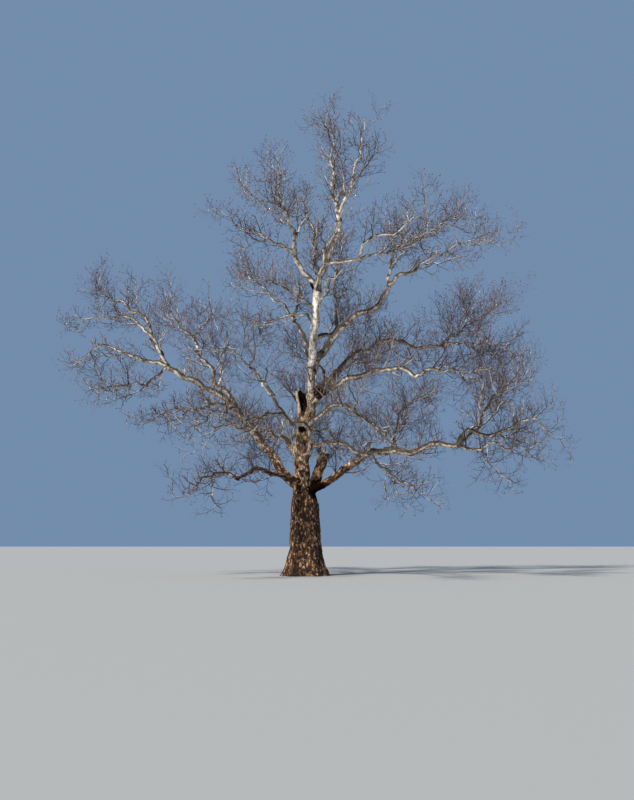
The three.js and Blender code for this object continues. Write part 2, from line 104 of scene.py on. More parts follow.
BOUGHS = {
    "right_leader": limb("trunk", (22, 30), [75, 65, 81], 4.2, (0.17, 0.12)),
    "left_leader": limb("trunk", (-161, -164), [51, 62], 2.3, (0.14, 0.11)),
    "right_crown": limb("right_leader", (-25, -26), [-6, 15], 1.9, (0.1, 0.085), at=1.65),
    "right_high": limb("trunk", (22, 15), [58, 56, 42, 21, 64], 6.7, (0.2, 0.12), at=10.3),
    "right_mid": limb("trunk", (-38, -32), [27, 17, 11, 5, -28], 6.6, (0.17, 0.09), at=8.6),
    "right_back": limb("trunk", (42, 11), [25, 61, 15, 38, -21, 7], 9.4, (0.17, 0.085), at=9.1),
    "right_low": limb("trunk", (-14, -6), [38, 33, 35, 12], 4.9, (0.19, 0.17), at=3.75),
    "right_low_far": limb("right_low", (-14, 0), [-6, 23, -5], 3.8, (0.165, 0.115)),
    "front_right": limb("trunk", (-38, -63), [35, 23, -7, -26], 4.4, (0.13, 0.08), at=7.3),
    "front_low": limb("trunk", (-55, -57), [21, -4, -9, -24], 5.2, (0.11, 0.07), at=5.9),
    "left_low": limb("trunk", (-175, -167), [40, 54, 56, 53], 5.5, (0.25, 0.18), at=4.2),
    "left_low_far": limb("left_low", (-169, -174), [35, 25, 26], 4.1, (0.17, 0.125)),
    "front_left": limb("trunk", (-30, -215), [11, 67, 48, 11, 41], 3.6, (0.12, 0.1), at=5.9),
    "front_low_left": limb("trunk", (-121, -125), [4, 9, 9, -27], 5.5, (0.14, 0.08), at=4.5),
    "back_low": limb("trunk", (102, 98), [38, 24, 10], 5.4, (0.2, 0.13), at=4.9),
    "back_mid": limb("trunk", (78, 72), [48, 36, 22], 5.0, (0.16, 0.1), at=7.5),
    "back_high": limb("trunk", (125, 118), [52, 46], 3.0, (0.11, 0.08), at=11.0),
}
STUBS = {
    "hollow": limb("trunk", (182, 178), [86, 108, 89, 79], 2.7, (0.24, 0.29), at=6.6),
    "broken": limb("trunk", (16, 20), [60, 73, 71, 53], 3.1, (0.26, 0.24), at=3.7),
}
print(len(BOUGHS), "boughs and", len(STUBS), "stubs")

# %% [markdown]
# ## The masses of twigs
#
# Each mass grows round one stem, which takes over where a bough ends. Its reach is how far a twig may stray
# from that stem.

# %% Stems of the masses
MASSES = {
    "top_left": limb("right_leader", (110, 149), [54, 94, 93, 66], 7.1, 0.115, reach=2.2),
    "top_right": limb("right_leader", (-25, -67), [63, 71, 65, 87], 5.6, 0.1, reach=2.4),
    "crown_back": limb("trunk", (88, 125), [59, 59, 58, 51], 8.0, 0.115, reach=2.4),
    "left_stem": limb("left_leader", (147, 63), [83, 39, 81, 84], 6.9, 0.1, reach=2.2),
    "left_arm": limb("left_leader", (-99, -160), [82, 48, 7, -5, 59], 5.8, 0.085, reach=2.4),
    "left_reach": limb("left_leader", (-168, -159), [36, 21, 23, 22], 4.4, 0.09, reach=2.2),
    "right_crown_up": limb("right_crown", (-38, 6), [48, 29, 16, -8, 62, 62], 5.2, 0.085, reach=2.6),
    "right_crown_out": limb("right_crown", (24, 31), [10, 40, 18, 36], 7.3, 0.075, reach=2.4),
    "right_high_out": limb("right_high", (17, 2), [37, 29, 28, 6, -15], 7.4, 0.105, reach=2.4),
    "right_high_up": limb("right_high", (65, 13), [65, 28, 20, 19, 30], 9.7, 0.08, reach=2.6),
    "right_stem": limb("trunk", (53, 84), [13, 111, 55, 59], 9.0, 0.12, at=11.9, reach=2.2),
    "right_mid_out": limb("right_mid", (-39, -31), [1, 6, -27, -1], 4.1, 0.09, reach=2.8),
    "right_back_out": limb("right_back", (32, 34), [13, 3, -2, -38], 5.7, 0.085, reach=2.6),
    "right_back_up": limb("right_back", (50, 37), [27, 37, 29], 6.5, 0.075, reach=3.0),
    "right_low_out": limb("right_low_far", (3, -7), [57, -30, 24, 36, -33, -27], 6.2, 0.115, reach=2.4),
    "right_low_up": limb("right_low_far", (33, 60), [32, 51, 27, 24], 7.7, 0.09, reach=2.8),
    "right_low_under": limb("right_low_far", (-60, -59), [-18, 21, -15, -10], 5.7, 0.085, reach=2.4),
    "right_low_inner": limb("right_low", (81, 12), [15, 69, 47, 22], 5.7, 0.08, reach=2.6),
    "front_right_out": limb("front_right", (-68, -74), [-20, -25, -32], 6.5, 0.08, reach=2.6),
    "front_low_out": limb("front_low", (-55, -71), [-29, -23, -23], 6.2, 0.075, reach=2.2),
    "left_low_out": limb("left_low_far", (-153, -173), [4, 32, -6, -39], 5.2, 0.105, reach=2.2),
    "left_low_up": limb("left_low_far", (147, 156), [51, 56, 48, 38, 22], 6.9, 0.105, reach=2.3),
    "left_low_under": limb("left_low_far", (-118, -141), [-50, -8, -14, -15], 5.8, 0.075, reach=2.2),
    "left_low_back": limb("left_low", (155, 125), [49, 51, 51, 43, 28], 9.0, 0.115, reach=3.2),
    "left_low_hang": limb("left_low", (-93, -128), [-15, -9, -18, -36], 5.7, 0.075, reach=2.4),
    "front_left_out": limb("front_left", (-124, -93), [-13, -20, -5, -26], 8.8, 0.08, reach=2.6),
    "front_left_up": limb("front_left", (-130, -112), [50, 34, 14, 28], 6.8, 0.09, reach=3.2),
    "front_low_left_out": limb("front_low_left", (-139, -91), [1, -19, -23], 4.3, 0.08, reach=2.2),
    "left_mid": limb("trunk", (139, 131), [28, -11, -11, 30], 6.1, 0.075, at=12.7, reach=2.6),
    "left_mid_front": limb("trunk", (-126, -122), [12, 12, -8, 7], 5.5, 0.07, at=13.5, reach=2.2),
    "back_low_left": limb("back_low", (128, 118), [22, 10, -5, -12], 6.6, 0.115, reach=2.8),
    "back_low_right": limb("back_low", (62, 58), [30, 12, 0, -10], 6.6, 0.105, reach=2.8),
    "back_mid_left": limb("back_mid", (108, 104), [45, 30, 15, 8], 6.2, 0.09, reach=2.8),
    "back_mid_right": limb("back_mid", (42, 55), [34, 24, 12, 0], 6.2, 0.085, reach=2.6),
    "back_high_left": limb("back_high", (158, 150), [45, 35, 25], 5.2, 0.075, reach=2.8),
    "back_high_right": limb("back_high", (82, 88), [50, 38, 28], 5.2, 0.075, reach=2.6),
    "front_high": limb("trunk", (-78, -74), [50, 35, 20, 15], 6.6, 0.09, at=11.2, reach=2.8),
    "front_crown": limb("trunk", (-72, -66), [62, 52, 42, 36], 6.2, 0.08, at=14.0, reach=2.4),
    "left_low_fan": limb("left_low_far", (-160, -176), [60, 50, 16, 5, -28], 6.1, 0.085, reach=2.2),
    "left_low_side": limb("left_low", (-148, -160), [8, -14, -6, -20], 5.0, 0.085, reach=2.4),
}
LIMBS = {**BOUGHS, **STUBS, **MASSES}
print(len(MASSES), "masses of twigs")

# %% [markdown]
# ## Chance that repeats
#
# Growth needs chance, but the tree must come out the same each time, and the same as its solids. So a random
# number is worked out from three whole numbers by multiplying and mixing their bits, with no hidden state. It
# works on whole arrays, so ten thousand twigs get their chances in one call.

# %% A number from 0 to 1 out of three whole numbers
MIX = [np.uint32(value) for value in (0x9E3779B1, 0x85EBCA6B, 0xC2B2AE35, 0x2C1B3C6D, 0x297A2D39)]


def chance(seed, item, draw):
    """Multiplies each whole number plus one by a large odd number, joins them by exclusive or, and mixes."""
    whole = [np.atleast_1d(value).astype(np.uint32) + np.uint32(1) for value in (seed, item, draw)]
    bits = whole[0] * MIX[0] ^ whole[1] * MIX[1] ^ whole[2] * MIX[2]
    bits = (bits ^ (bits >> np.uint32(15))) * MIX[3]
    bits = (bits ^ (bits >> np.uint32(12))) * MIX[4]
    return (bits ^ (bits >> np.uint32(15))) / 2.0**32


print("three chances", chance(1, np.arange(3), 0).round(3))

# %% [markdown]
# The third whole number says what the chance is for, so that one twig's length and lean, say, have nothing
# to do with each other. Where a use needs several chances, as for three axes or for the steps of a twig, it
# takes the numbers after its own too. A few numbers are shared, as they are in the solids, and it does no
# harm, because nobody can see that a kink and a thickness came from one chance.

# %% What each chance is for
DRAW = {
    "climb": 0, "bearing": 1, "place": 0, "length": 1, "turn": 2, "lean": 3, "waver": 4, "radius": 8,
    "tint": 9, "ball": 11, "drop": 12, "swing": 13, "size": 15, "thinning": 16, "bud": 17, "sprout": 20,
    "age": 40, "ragged": 45, "plates": 50, "burr": 60, "rim": 70, "crook": 100,
}


def spread(width, seed, item, use):
    """A chance less a half, times the width, so that it falls evenly on both sides of nothing."""
    return width * (chance(seed, item, DRAW[use]) - 0.5)


print("three turns", spread(60, 1, np.arange(3), "turn").round(1))

# %% [markdown]
# ## Walking the limbs
#
# A limb is walked in equal steps. Each step heads where the table says, and leans a little to one side and
# then to the other, which gives the crooked limbs of a plane tree. The running sum of the steps is the middle
# line.

# %% Middle lines
TRUNK_STEP = 0.9
BOUGH_STEP = 0.8
STEM_STEP = 0.95
BOUGH_WAVER = 12
STEM_WAVER = 18
FEWEST_STEPS = 2
TIP_SINK = 0.5


def headings(bearing, climb):
    """Unit vectors: the cosine of the climb shared between X and Y by the bearing, and its sine for Z."""
    b, c = np.radians(bearing), np.radians(climb)
    return np.stack([np.cos(c) * np.cos(b), np.cos(c) * np.sin(b), np.sin(c)], axis=-1)


def limb_line(foot, row, step, waver, seed):
    """The foot plus the running sum of equal steps along the headings."""
    steps = max(FEWEST_STEPS, math.floor(row["length"] / step + 0.5))
    item = np.arange(steps)
    share = (item + 0.5) / steps
    side = np.where(item % 2 == 0, 1, -1) * waver
    climbs = row["climbs"]
    climb = np.interp(share * len(climbs) - 0.5, np.arange(len(climbs)), climbs)
    bearing = row["bearing"][0] + (row["bearing"][1] - row["bearing"][0]) * share
    way = headings(bearing - side * chance(seed, item, DRAW["bearing"]),
                   climb + side * chance(seed, item, DRAW["climb"]))
    return np.vstack([foot, foot + np.cumsum(way * row["length"] / steps, axis=0)])


def between(stations, share):
    """Values of a list of stations at shares of its length, blended evenly between neighbours."""
    place = np.clip(share, 0, 1) * (len(stations) - 1)
    first = np.minimum(place.astype(int), len(stations) - 2)
    return stations[first] + (stations[first + 1] - stations[first]) * (place - first)[..., None]


# %% [markdown]
# The trunk comes first, and each limb after its carrier. The trunk's lowest stretch stands upright over the
# origin. A limb that leaves a tip starts inside it, by half of the tip's half thickness.

# %% Every limb's line
trunk_row = dict(length=TRUNK_LENGTH, climbs=TRUNK_CLIMBS, bearing=(0, 0))
lines = {"trunk": limb_line(np.zeros(3), trunk_row, TRUNK_STEP, 0, 0)}
lines["trunk"][1, :2] = 0
limb_length = {"trunk": TRUNK_LENGTH}
tip_radius = {"trunk": TRUNK_RADII[-1]}
seeds = {"trunk": 0}
for name, row in LIMBS.items():
    seeds[name] = len(seeds)
    carrier = row["on"]
    place = row["at"] if row["at"] is not None else limb_length[carrier] - TIP_SINK * tip_radius[carrier]
    foot = between(lines[carrier], place / limb_length[carrier])
    step, waver = (STEM_STEP, STEM_WAVER) if name in MASSES else (BOUGH_STEP, BOUGH_WAVER)
    lines[name] = limb_line(foot, row, step, waver, seeds[name])
    limb_length[name] = row["length"]
    tip_radius[name] = np.min(row["radius"])
print("the tallest stem ends at", round(max(line[-1, 2] for line in lines.values()), 2), "m")

# %% [markdown]
# ## Crooked between the stations
#
# Straight stretches between stations would look like a folded ruler. Wood rounds its corners and is crooked
# at every scale. So new stations are put midway again and again, each on a smooth curve through its four
# neighbours and then moved sideways by chance, by a share of the stretch that halves along with it.

# %% Crooked lines
def crooked(paths, times, amount, seed, item):
    """A station midway: nine sixteenths of each near neighbour less one of each far one, moved sideways."""
    for level in range(times):
        stations = np.arange(paths.shape[1] - 1)[None]
        before = 2 * paths[:, :1] - paths[:, 1:2]
        after = 2 * paths[:, -1:] - paths[:, -2:-1]
        ends = np.concatenate([before, paths, after], axis=1)
        middle = (9 * (ends[:, 1:-2] + ends[:, 2:-1]) - ends[:, :-3] - ends[:, 3:]) / 16
        stretch = ends[:, 2:-1] - ends[:, 1:-2]
        draws = [chance(seed[:, None], item[:, None], DRAW["crook"] * (level + 1) + 3 * stations + axis)
                 for axis in range(3)]
        push = np.cross(stretch, 2 * np.stack(draws, -1) - 1)
        finer = np.empty((len(paths), 2 * paths.shape[1] - 1, 3))
        finer[:, ::2], finer[:, 1::2] = paths, middle + amount * push
        paths = finer
    return paths


CROOK = {"trunk": 0.03, "bough": 0.07, "stem": 0.11}
TIMES = {"trunk": 5, "bough": 4, "stem": 4}


def limb_kind(name):
    """Which of the three kinds of limb a name stands for."""
    return "trunk" if name == "trunk" else "stem" if name in MASSES else "bough"


drawn = {}
for name, line in lines.items():
    kind = limb_kind(name)
    seed = np.array([seeds[name]])
    drawn[name] = crooked(line[None], TIMES[kind], CROOK[kind], seed, seed)[0]
drawn["trunk"][:, 2] = np.maximum(drawn["trunk"][:, 2], 0)
print("a bough's line has", len(drawn["left_low"]), "stations")

# %% [markdown]
# ## How thick a limb is
#
# A limb tapers evenly, and swells into a collar where its carrier holds it. The trunk follows a short list of
# half thicknesses by height, with the buttresses of its roots as a wave round the foot.

# %% Half thickness along a limb
COLLAR = 0.4
COLLAR_LENGTH = 2.2
THINNEST = 0.009
STEM_TAPER = 1.3
FORK_HEIGHT = 3.7


def collar(share, length, foot):
    """One at the tip, and one plus the collar's share at the foot, dying away in a few thicknesses."""
    return 1 + COLLAR * np.exp(-share * length / (COLLAR_LENGTH * foot))


def bough_radius(row, share):
    """An even taper from the foot to the tip, times the collar."""
    foot, tip = row["radius"]
    return (foot + (tip - foot) * share) * collar(share, row["length"], foot)


def stem_radius(foot, length, share):
    """A taper to a twig's thickness that is slow at first, times the collar."""
    return (foot + (THINNEST - foot) * share**STEM_TAPER) * collar(share, length, foot)


def trunk_radius(share, angle):
    """The listed thickness at this height, times one plus a cosine of the angle that fades up the trunk."""
    height = share * TRUNK_LENGTH
    wave = ROOT_LOBE_DEPTH * np.exp(-height / ROOT_LOBE_HEIGHT) * np.cos(ROOT_LOBES * angle)
    return np.interp(height, TRUNK_HEIGHTS, TRUNK_RADII) * (1 + wave)


print("trunk under the fork is", round(2 * float(trunk_radius(FORK_HEIGHT / TRUNK_LENGTH, 0)), 2), "m across")

# %% [markdown]
# ## Lumps and plates in space
#
# A plane tree's bark doesn't stretch. On the old trunk it cracks into scaly plates, and higher up it falls
# off in flakes and leaves a smooth pale skin. A bump in the material alone would leave the outline smooth, so
# the plates are moved in the mesh. Plates are cells: scattered points, each owning the space nearest to it.
# The distance to the nearest point against the next nearest tells how close a crack is.

# %% Noise
CORNERS = np.stack(np.meshgrid([0, 1], [0, 1], [0, 1], indexing="ij"), -1).reshape(-1, 3)
AROUND = np.stack(np.meshgrid(*[[-1, 0, 1]] * 3, indexing="ij"), -1).reshape(-1, 3)
LATTICE = 1024
FAR = 9.0


def lattice_chance(cell, draw):
    """A repeatable chance for each cell of a lattice, from its three whole coordinates."""
    shifted = cell + LATTICE // 2
    return chance(shifted[..., 2], shifted[..., 0] + LATTICE * shifted[..., 1], draw)


def lumps(points, size, draw):
    """Value noise from -1 to 1: chances at the corners of a lattice, blended by smooth steps between them."""
    place = points / size
    cell = np.floor(place).astype(int)
    part = place - cell
    part = part * part * (3 - 2 * part)
    total = np.zeros(points.shape[:-1])
    for corner in CORNERS:
        weight = np.prod(np.where(corner == 1, part, 1 - part), axis=-1)
        total += weight * lattice_chance(cell + corner, draw)
    return 2 * total - 1


def plates(points, size, draw):
    """For each point: how far it lies from a crack, from 0 to about 1, and its plate's own chance."""
    place = points / size
    cell = np.floor(place).astype(int)
    nearest = np.full(points.shape[:-1], FAR)
    second = nearest.copy()
    own = np.zeros_like(nearest)
    for step in AROUND:
        spot = cell + step
        seat = np.stack([lattice_chance(spot, draw + axis) for axis in range(3)], -1) + spot
        away = np.linalg.norm(seat - place, axis=-1)
        closer = away < nearest
        second = np.where(closer, nearest, np.minimum(second, away))
        own = np.where(closer, lattice_chance(spot, draw + 3), own)
        nearest = np.where(closer, away, nearest)
    return second - nearest, own


print("crack distances", plates(np.arange(12.0).reshape(4, 3), 0.7, 0)[0].round(2))

# %% [markdown]
# ## From a line to a skin
#
# The skin of a limb is a grid with two parameters: how far along the line, and the angle round it. Two
# directions across the line are carried along it without twisting, and each grid point stands out from the
# line by the half thickness plus the relief. The directions are taken from a calmed copy of the line. Rings
# that tilted with every small crook would run into each other and leave shelves in a thick trunk.

# %% Frames and skins
TINY = 1e-9
NEAR_X = 0.8


def unit(vector):
    """The vector at a length of one."""
    return vector / np.maximum(np.linalg.norm(vector, axis=-1, keepdims=True), TINY)


def calmed(line, times):
    """The line with its inner stations replaced by a quarter, a half and a quarter of three, many times."""
    for _ in range(times):
        line = np.concatenate([line[:1], (line[:-2] + 2 * line[1:-1] + line[2:]) / 4, line[-1:]])
    return line


def carried_frames(line, calm=0):
    """For each station the way the calmed line faces and two directions across it, kept from twisting."""
    facing = unit(np.gradient(calmed(line, calm), axis=0))
    across = np.empty_like(facing)
    start = np.array([0.0, 1.0, 0.0] if abs(facing[0, 0]) > NEAR_X else [1.0, 0.0, 0.0])
    for k, way in enumerate(facing):
        start = unit(start - way * (start @ way))
        across[k] = start
    return facing, across, np.cross(across, facing)


def skin(line, radius, angle, calm=0):
    """The line's point, plus the half thickness times the cosine and sine of the angle across it."""
    _, across, other = carried_frames(line, calm)
    out = np.cos(angle)[None, :, None] * across[:, None] + np.sin(angle)[None, :, None] * other[:, None]
    return line[:, None] + out * radius[..., None]


def tube_faces(rows, columns):
    """Triangles of a grid that closes round, with one middle point that closes each end."""
    row, column = np.meshgrid(np.arange(rows - 1), np.arange(columns), indexing="ij")
    a = row * columns + column
    b = row * columns + (column + 1) % columns
    c, d = b + columns, a + columns
    walls = np.concatenate([np.stack([a, c, b], -1), np.stack([a, d, c], -1)]).reshape(-1, 3)
    rim = np.arange(columns)
    after = (rim + 1) % columns
    foot = np.stack([np.full(columns, rows * columns), rim, after], -1)
    top = (rows - 1) * columns
    tip = np.stack([np.full(columns, rows * columns + 1), top + after, top + rim], -1)
    return np.concatenate([walls, foot, tip])


print("a tube of 3 rings of 4 has", len(tube_faces(3, 4)), "triangles")

# %% [markdown]
# Arrays go straight into a mesh, which is much faster than adding points one by one. Numbers on the points
# carry what the bark's colour needs.

# %% Making a piece
def make_piece(name, points, faces, values=None):
    """A mesh object from arrays of points and triangles, and of a number on each point for every value."""
    mesh = bpy.data.meshes.new(name)
    mesh.vertices.add(len(points))
    mesh.vertices.foreach_set("co", np.ascontiguousarray(points, dtype=np.float32).ravel())
    mesh.loops.add(faces.size)
    mesh.loops.foreach_set("vertex_index", np.ascontiguousarray(faces, dtype=np.int32).ravel())
    mesh.polygons.add(len(faces))
    mesh.polygons.foreach_set("loop_start", np.arange(0, faces.size, 3, dtype=np.int32))
    mesh.polygons.foreach_set("use_smooth", np.ones(len(faces), dtype=bool))
    for key, numbers in (values or {}).items():
        mesh.attributes.new(key, "FLOAT", "POINT").data.foreach_set("value", numbers.astype(np.float32))
    mesh.update()
    mesh.validate()
    piece = bpy.data.objects.new(name, mesh)
    bpy.context.scene.collection.objects.link(piece)
    print(name, len(points), "points,", len(faces), "triangles")
    return piece


def join(parts):
    """Several (points, faces, values) as one, with the faces' numbers moved on."""
    starts = np.cumsum([0] + [len(points) for points, _, _ in parts[:-1]])
    points = np.concatenate([part[0] for part in parts])
    faces = np.concatenate([part[1] + start for part, start in zip(parts, starts)])
    values = {key: np.concatenate([part[2][key] for part in parts]) for key in parts[0][2]}
    return points, faces, values


# %% [markdown]
# ## Old bark and pale bark
#
# How pale the bark is depends on how old it is: the trunk's foot is rust-brown all round, and the bark pales
# with height and with distance from the trunk. That number rides on every point, with the plate's own chance,
# the nearness of a crack and how far the skin faces down, so that colour and relief follow each other.

# %% How old the bark is
OLD_AGE = 6.6
YOUNG_AGE = 10.2
AGE_BLUR = 1.2
AGE_BLUR_SIZE = 1.1
OUTWARD = 0.8
CREAM_AGE = 9.5
CREAM_SPAN = 7.0
LIMB_CREAM = 0.55
TRUNK_CREAM = 1.0


def youth(points):
    """How young the wood is: height plus a share of the distance out from the trunk, in metres."""
    return points[..., 2] + OUTWARD * np.hypot(points[..., 0], points[..., 1])


def paleness(points):
    """0 on the old trunk and 1 on young wood, blurred by wide lumps."""
    age = youth(points) + AGE_BLUR * lumps(points, AGE_BLUR_SIZE, DRAW["age"])
    return np.clip((age - OLD_AGE) / (YOUNG_AGE - OLD_AGE), 0, 1)


def creaminess(points, most):
    """0 where pale bark is still tan, up to the most that the limb's bark has, further up and out."""
    return most * np.clip((youth(points) - CREAM_AGE) / CREAM_SPAN + most - LIMB_CREAM, 0, 1)


def downward(points):
    """How far each grid point of a skin faces down: minus the Z of the cross product of its two edges."""
    along = np.gradient(points, axis=0)
    around = np.roll(points, -1, axis=1) - np.roll(points, 1, axis=1)
    return -unit(np.cross(around, along))[..., 2]


print("paleness at 4, 8 and 12 m:", paleness(np.array([4.0, 8.0, 12.0])[:, None] * [0, 0, 1]).round(2))

# %% [markdown]
# In the crotches and in the seams under a torn stub the bark is black: partly rot, where water stands, and
# partly painted shade, where the limbs shade each other. Each such place is a middle point and how wide it
# spreads.

# %% Rotten and shaded places
ROT_AND_SHADE_PLACES = [
    ((0.85, -0.45, 9.2), 0.65),
    ((1.2, -0.3, 9.9), 0.4),
    ((-0.15, -0.35, 7.3), 0.35),
    ((0.25, -0.1, 14.6), 0.3),
    ((0.6, -0.45, 4.2), 0.6),
]


def rot_and_shade_level(points):
    """1 at a place's middle, falling off as a bell of the distance, and the greatest over all the places."""
    return np.max([np.exp(-((points - place) ** 2).sum(-1) / wide**2) for place, wide in ROT_AND_SHADE_PLACES], axis=0)


print("the first place is", rot_and_shade_level(np.array(ROT_AND_SHADE_PLACES[0][0])).round(2), "rotted_and_shaded")

# %% [markdown]
# The plates are laid out on the limb as if it stood straight, and as if its length were shrunk, so that on
# the limb they come out longer than they are wide. Their edges are made ragged by fine lumps.

# %% The bark of one limb
OLD_DEPTH = 0.036
PALE_DEPTH = 0.007
FULL_DEPTH_RADIUS = 0.25
PLATE_STRETCH = 2.0
RAGGED = 0.3
RAGGED_SIZE = 0.6
CRACK_WIDTH = 0.25
CRACK_SHADE = 0.35
PLATE_LEAST = 0.4
SWELL = 0.05
KNOT_SIZE = 4.0
FINE_KNOTS = 0.5
CALM = {"trunk": 60, "bough": 8, "stem": 1}
LEVEL_HEIGHT = 1.6
SEED_SHIFT = 7.0


def straightened(name, share, radius, angle, stretch=1.0):
    """Where a point would lie if the limb stood straight and shrunk by the stretch, apart from others."""
    along = np.broadcast_to(share * limb_length[name] / stretch, radius.shape)
    return np.stack([radius * np.cos(angle), radius * np.sin(angle), along], -1) + SEED_SHIFT * seeds[name]


def closed(points, grids, ends):
    """A skin and its numbers as rows, with a middle point for each end and the number that it gets."""
    points = np.vstack([points.reshape(-1, 3), points[0].mean(0), points[-1].mean(0)])
    values = {key: np.append(grid.ravel(), ends(grid)) for key, grid in grids.items()}
    return points, values


def bark_limb(name, radius_at, columns, plate, offset=0.0):
    """Skin of a limb: its half thickness, moved by wide lumps and by plates that stand out between cracks."""
    line, calm = drawn[name], CALM[limb_kind(name)]
    share = np.linspace(0, 1, len(line))[:, None]
    angle = np.linspace(0, 2 * math.pi, columns, endpoint=False)
    radius = np.broadcast_to(radius_at(share, angle[None, :]), (len(line), columns))
    straight = straightened(name, share, radius, angle)
    ragged = np.stack([lumps(straight, RAGGED_SIZE * plate, DRAW["ragged"] + axis) for axis in range(3)], -1)
    flat = straightened(name, share, radius, angle, PLATE_STRETCH) + RAGGED * plate * ragged
    surface = skin(line, radius, angle, calm)
    pale = np.clip(paleness(surface) + offset, 0, 1)
    crack, own = plates(flat, plate, DRAW["plates"])
    depth = (OLD_DEPTH + (PALE_DEPTH - OLD_DEPTH) * pale) * np.minimum(1, radius / FULL_DEPTH_RADIUS)
    stand = np.minimum(crack / CRACK_WIDTH, 1) * (PLATE_LEAST + (1 - PLATE_LEAST) * own) - 0.5
    knots = lumps(straight, KNOT_SIZE * np.mean(radius), DRAW["burr"])
    knots = knots + FINE_KNOTS * lumps(straight, np.mean(radius), DRAW["burr"] + 1)
    points = skin(line, radius + SWELL * radius * knots + depth * stand, angle, calm)
    if name == "trunk":
        level = np.clip(line[:, 2:] / LEVEL_HEIGHT, 0, 1)
        points[..., 2] = line[:, 2:] + level * (points[..., 2] - line[:, 2:])
    cream = creaminess(points, TRUNK_CREAM if name == "trunk" else LIMB_CREAM)
    grids = {"pale": pale, "crack": np.minimum(crack / CRACK_SHADE, 1), "plate": own,
             "under": downward(points), "rot_and_shade": rot_and_shade_level(points), "cream": cream}
    points, values = closed(points, grids, lambda grid: [grid[0].mean(), grid[-1].mean()])
    return points, tube_faces(len(line), columns), values


# %% [markdown]
# The trunk's rings are levelled near the ground, where it ends in a flat cut.

# %% Trunk's bark
TRUNK_COLUMNS = 180
TRUNK_PLATE = 0.08
trunk_piece = make_piece("trunk_bark", *bark_limb("trunk", trunk_radius, TRUNK_COLUMNS, TRUNK_PLATE))

# %% [markdown]
# ## The boughs
#
# The boughs get the same skin with fewer points round them. They start on the trunk's middle line, deep
# inside the wood, so that each grows out of its carrier with no seam to close.

# %% Boughs
BOUGH_COLUMNS = 30
BOUGH_PLATE = 0.09
# The back boughs get browner bark, a painted shade for the shade they stand in; the front ones get paler
# bark.
BARK_AND_SHADE_SHIFT = {"right_back": -0.05, "back_low": -0.3, "back_mid": -0.3, "back_high": -0.2, "front_left": 0.5,
              "front_right": 0.35, "front_low": 0.3}


def bark_bough(name):
    """A bough's skin, browner than the bark round it at the back as a painted shade, and paler in front."""
    return bark_limb(name, lambda share, angle: bough_radius(BOUGHS[name], share), BOUGH_COLUMNS, BOUGH_PLATE,
                     BARK_AND_SHADE_SHIFT.get(name, 0.0))


bough_piece = make_piece("boughs_bark", *join([bark_bough(name) for name in BOUGHS]))

# %% [markdown]
# ## The torn stubs
#
# Two old stems broke off long ago. What is left is a shell with a ragged rim. It is one closed skin: the
# outer wall goes up to the rim and turns in, and the inner wall goes down to a floor of rotten wood. The
# whole inside is painted black, rot and painted shade together. On the larger stub the rim dips far down on
# the side that faces the camera, so the black hole inside shows.

# %% Rims of the stubs
STUB_COLUMNS = 60
WALL_ROWS = 44
HOLE_ROWS = 22
TEARS = {
    "hollow": dict(open=-78, notch=1.6, half=56, ragged=0.3, hole=1.8, tan=0.6, rot_and_shade=0.0),
    "broken": dict(open=-40, notch=0.35, half=80, ragged=0.45, hole=0.55, tan=0.0, rot_and_shade=0.3),
}
DIP_CURVE = 0.7
RIM_LUMPS = ((0.3, 0.9), (0.35, 0.22))


def rim_heights(tear, out, seed, length):
    """The stub's length, less a dip that is deepest on the open side, less sharp lumps round the angle."""
    way = headings(tear["open"], 0)
    edge = math.cos(math.radians(tear["half"]))
    dip = np.clip((out @ way - edge) / (1 - edge), 0, 1) ** DIP_CURVE
    ring = np.column_stack([out[:, :2], np.full(len(out), seed)])
    ragged = 0.5
    for k, (amount, size) in enumerate(RIM_LUMPS):
        ragged = ragged + amount * lumps(ring, size, DRAW["rim"] + k)
    return (length - tear["notch"] * dip - tear["ragged"] * ragged) / length


print(len(TEARS), "stubs of", WALL_ROWS + HOLE_ROWS, "rings")

# %% Walls of the stubs
WALL = 0.045
WALL_LUMPS = 0.5
WALL_LUMP_SIZE = 0.12
STUB_PLATE = 0.09
STUB_STRETCH = 2.2
STUB_LUMPS = 0.12
STUB_LUMP_SIZE = 0.25
STUB_DEPTH = 0.025
FLOOR_CLOSING = 0.99
TAN_FROM = 0.5
TAN_SPAN = 0.2


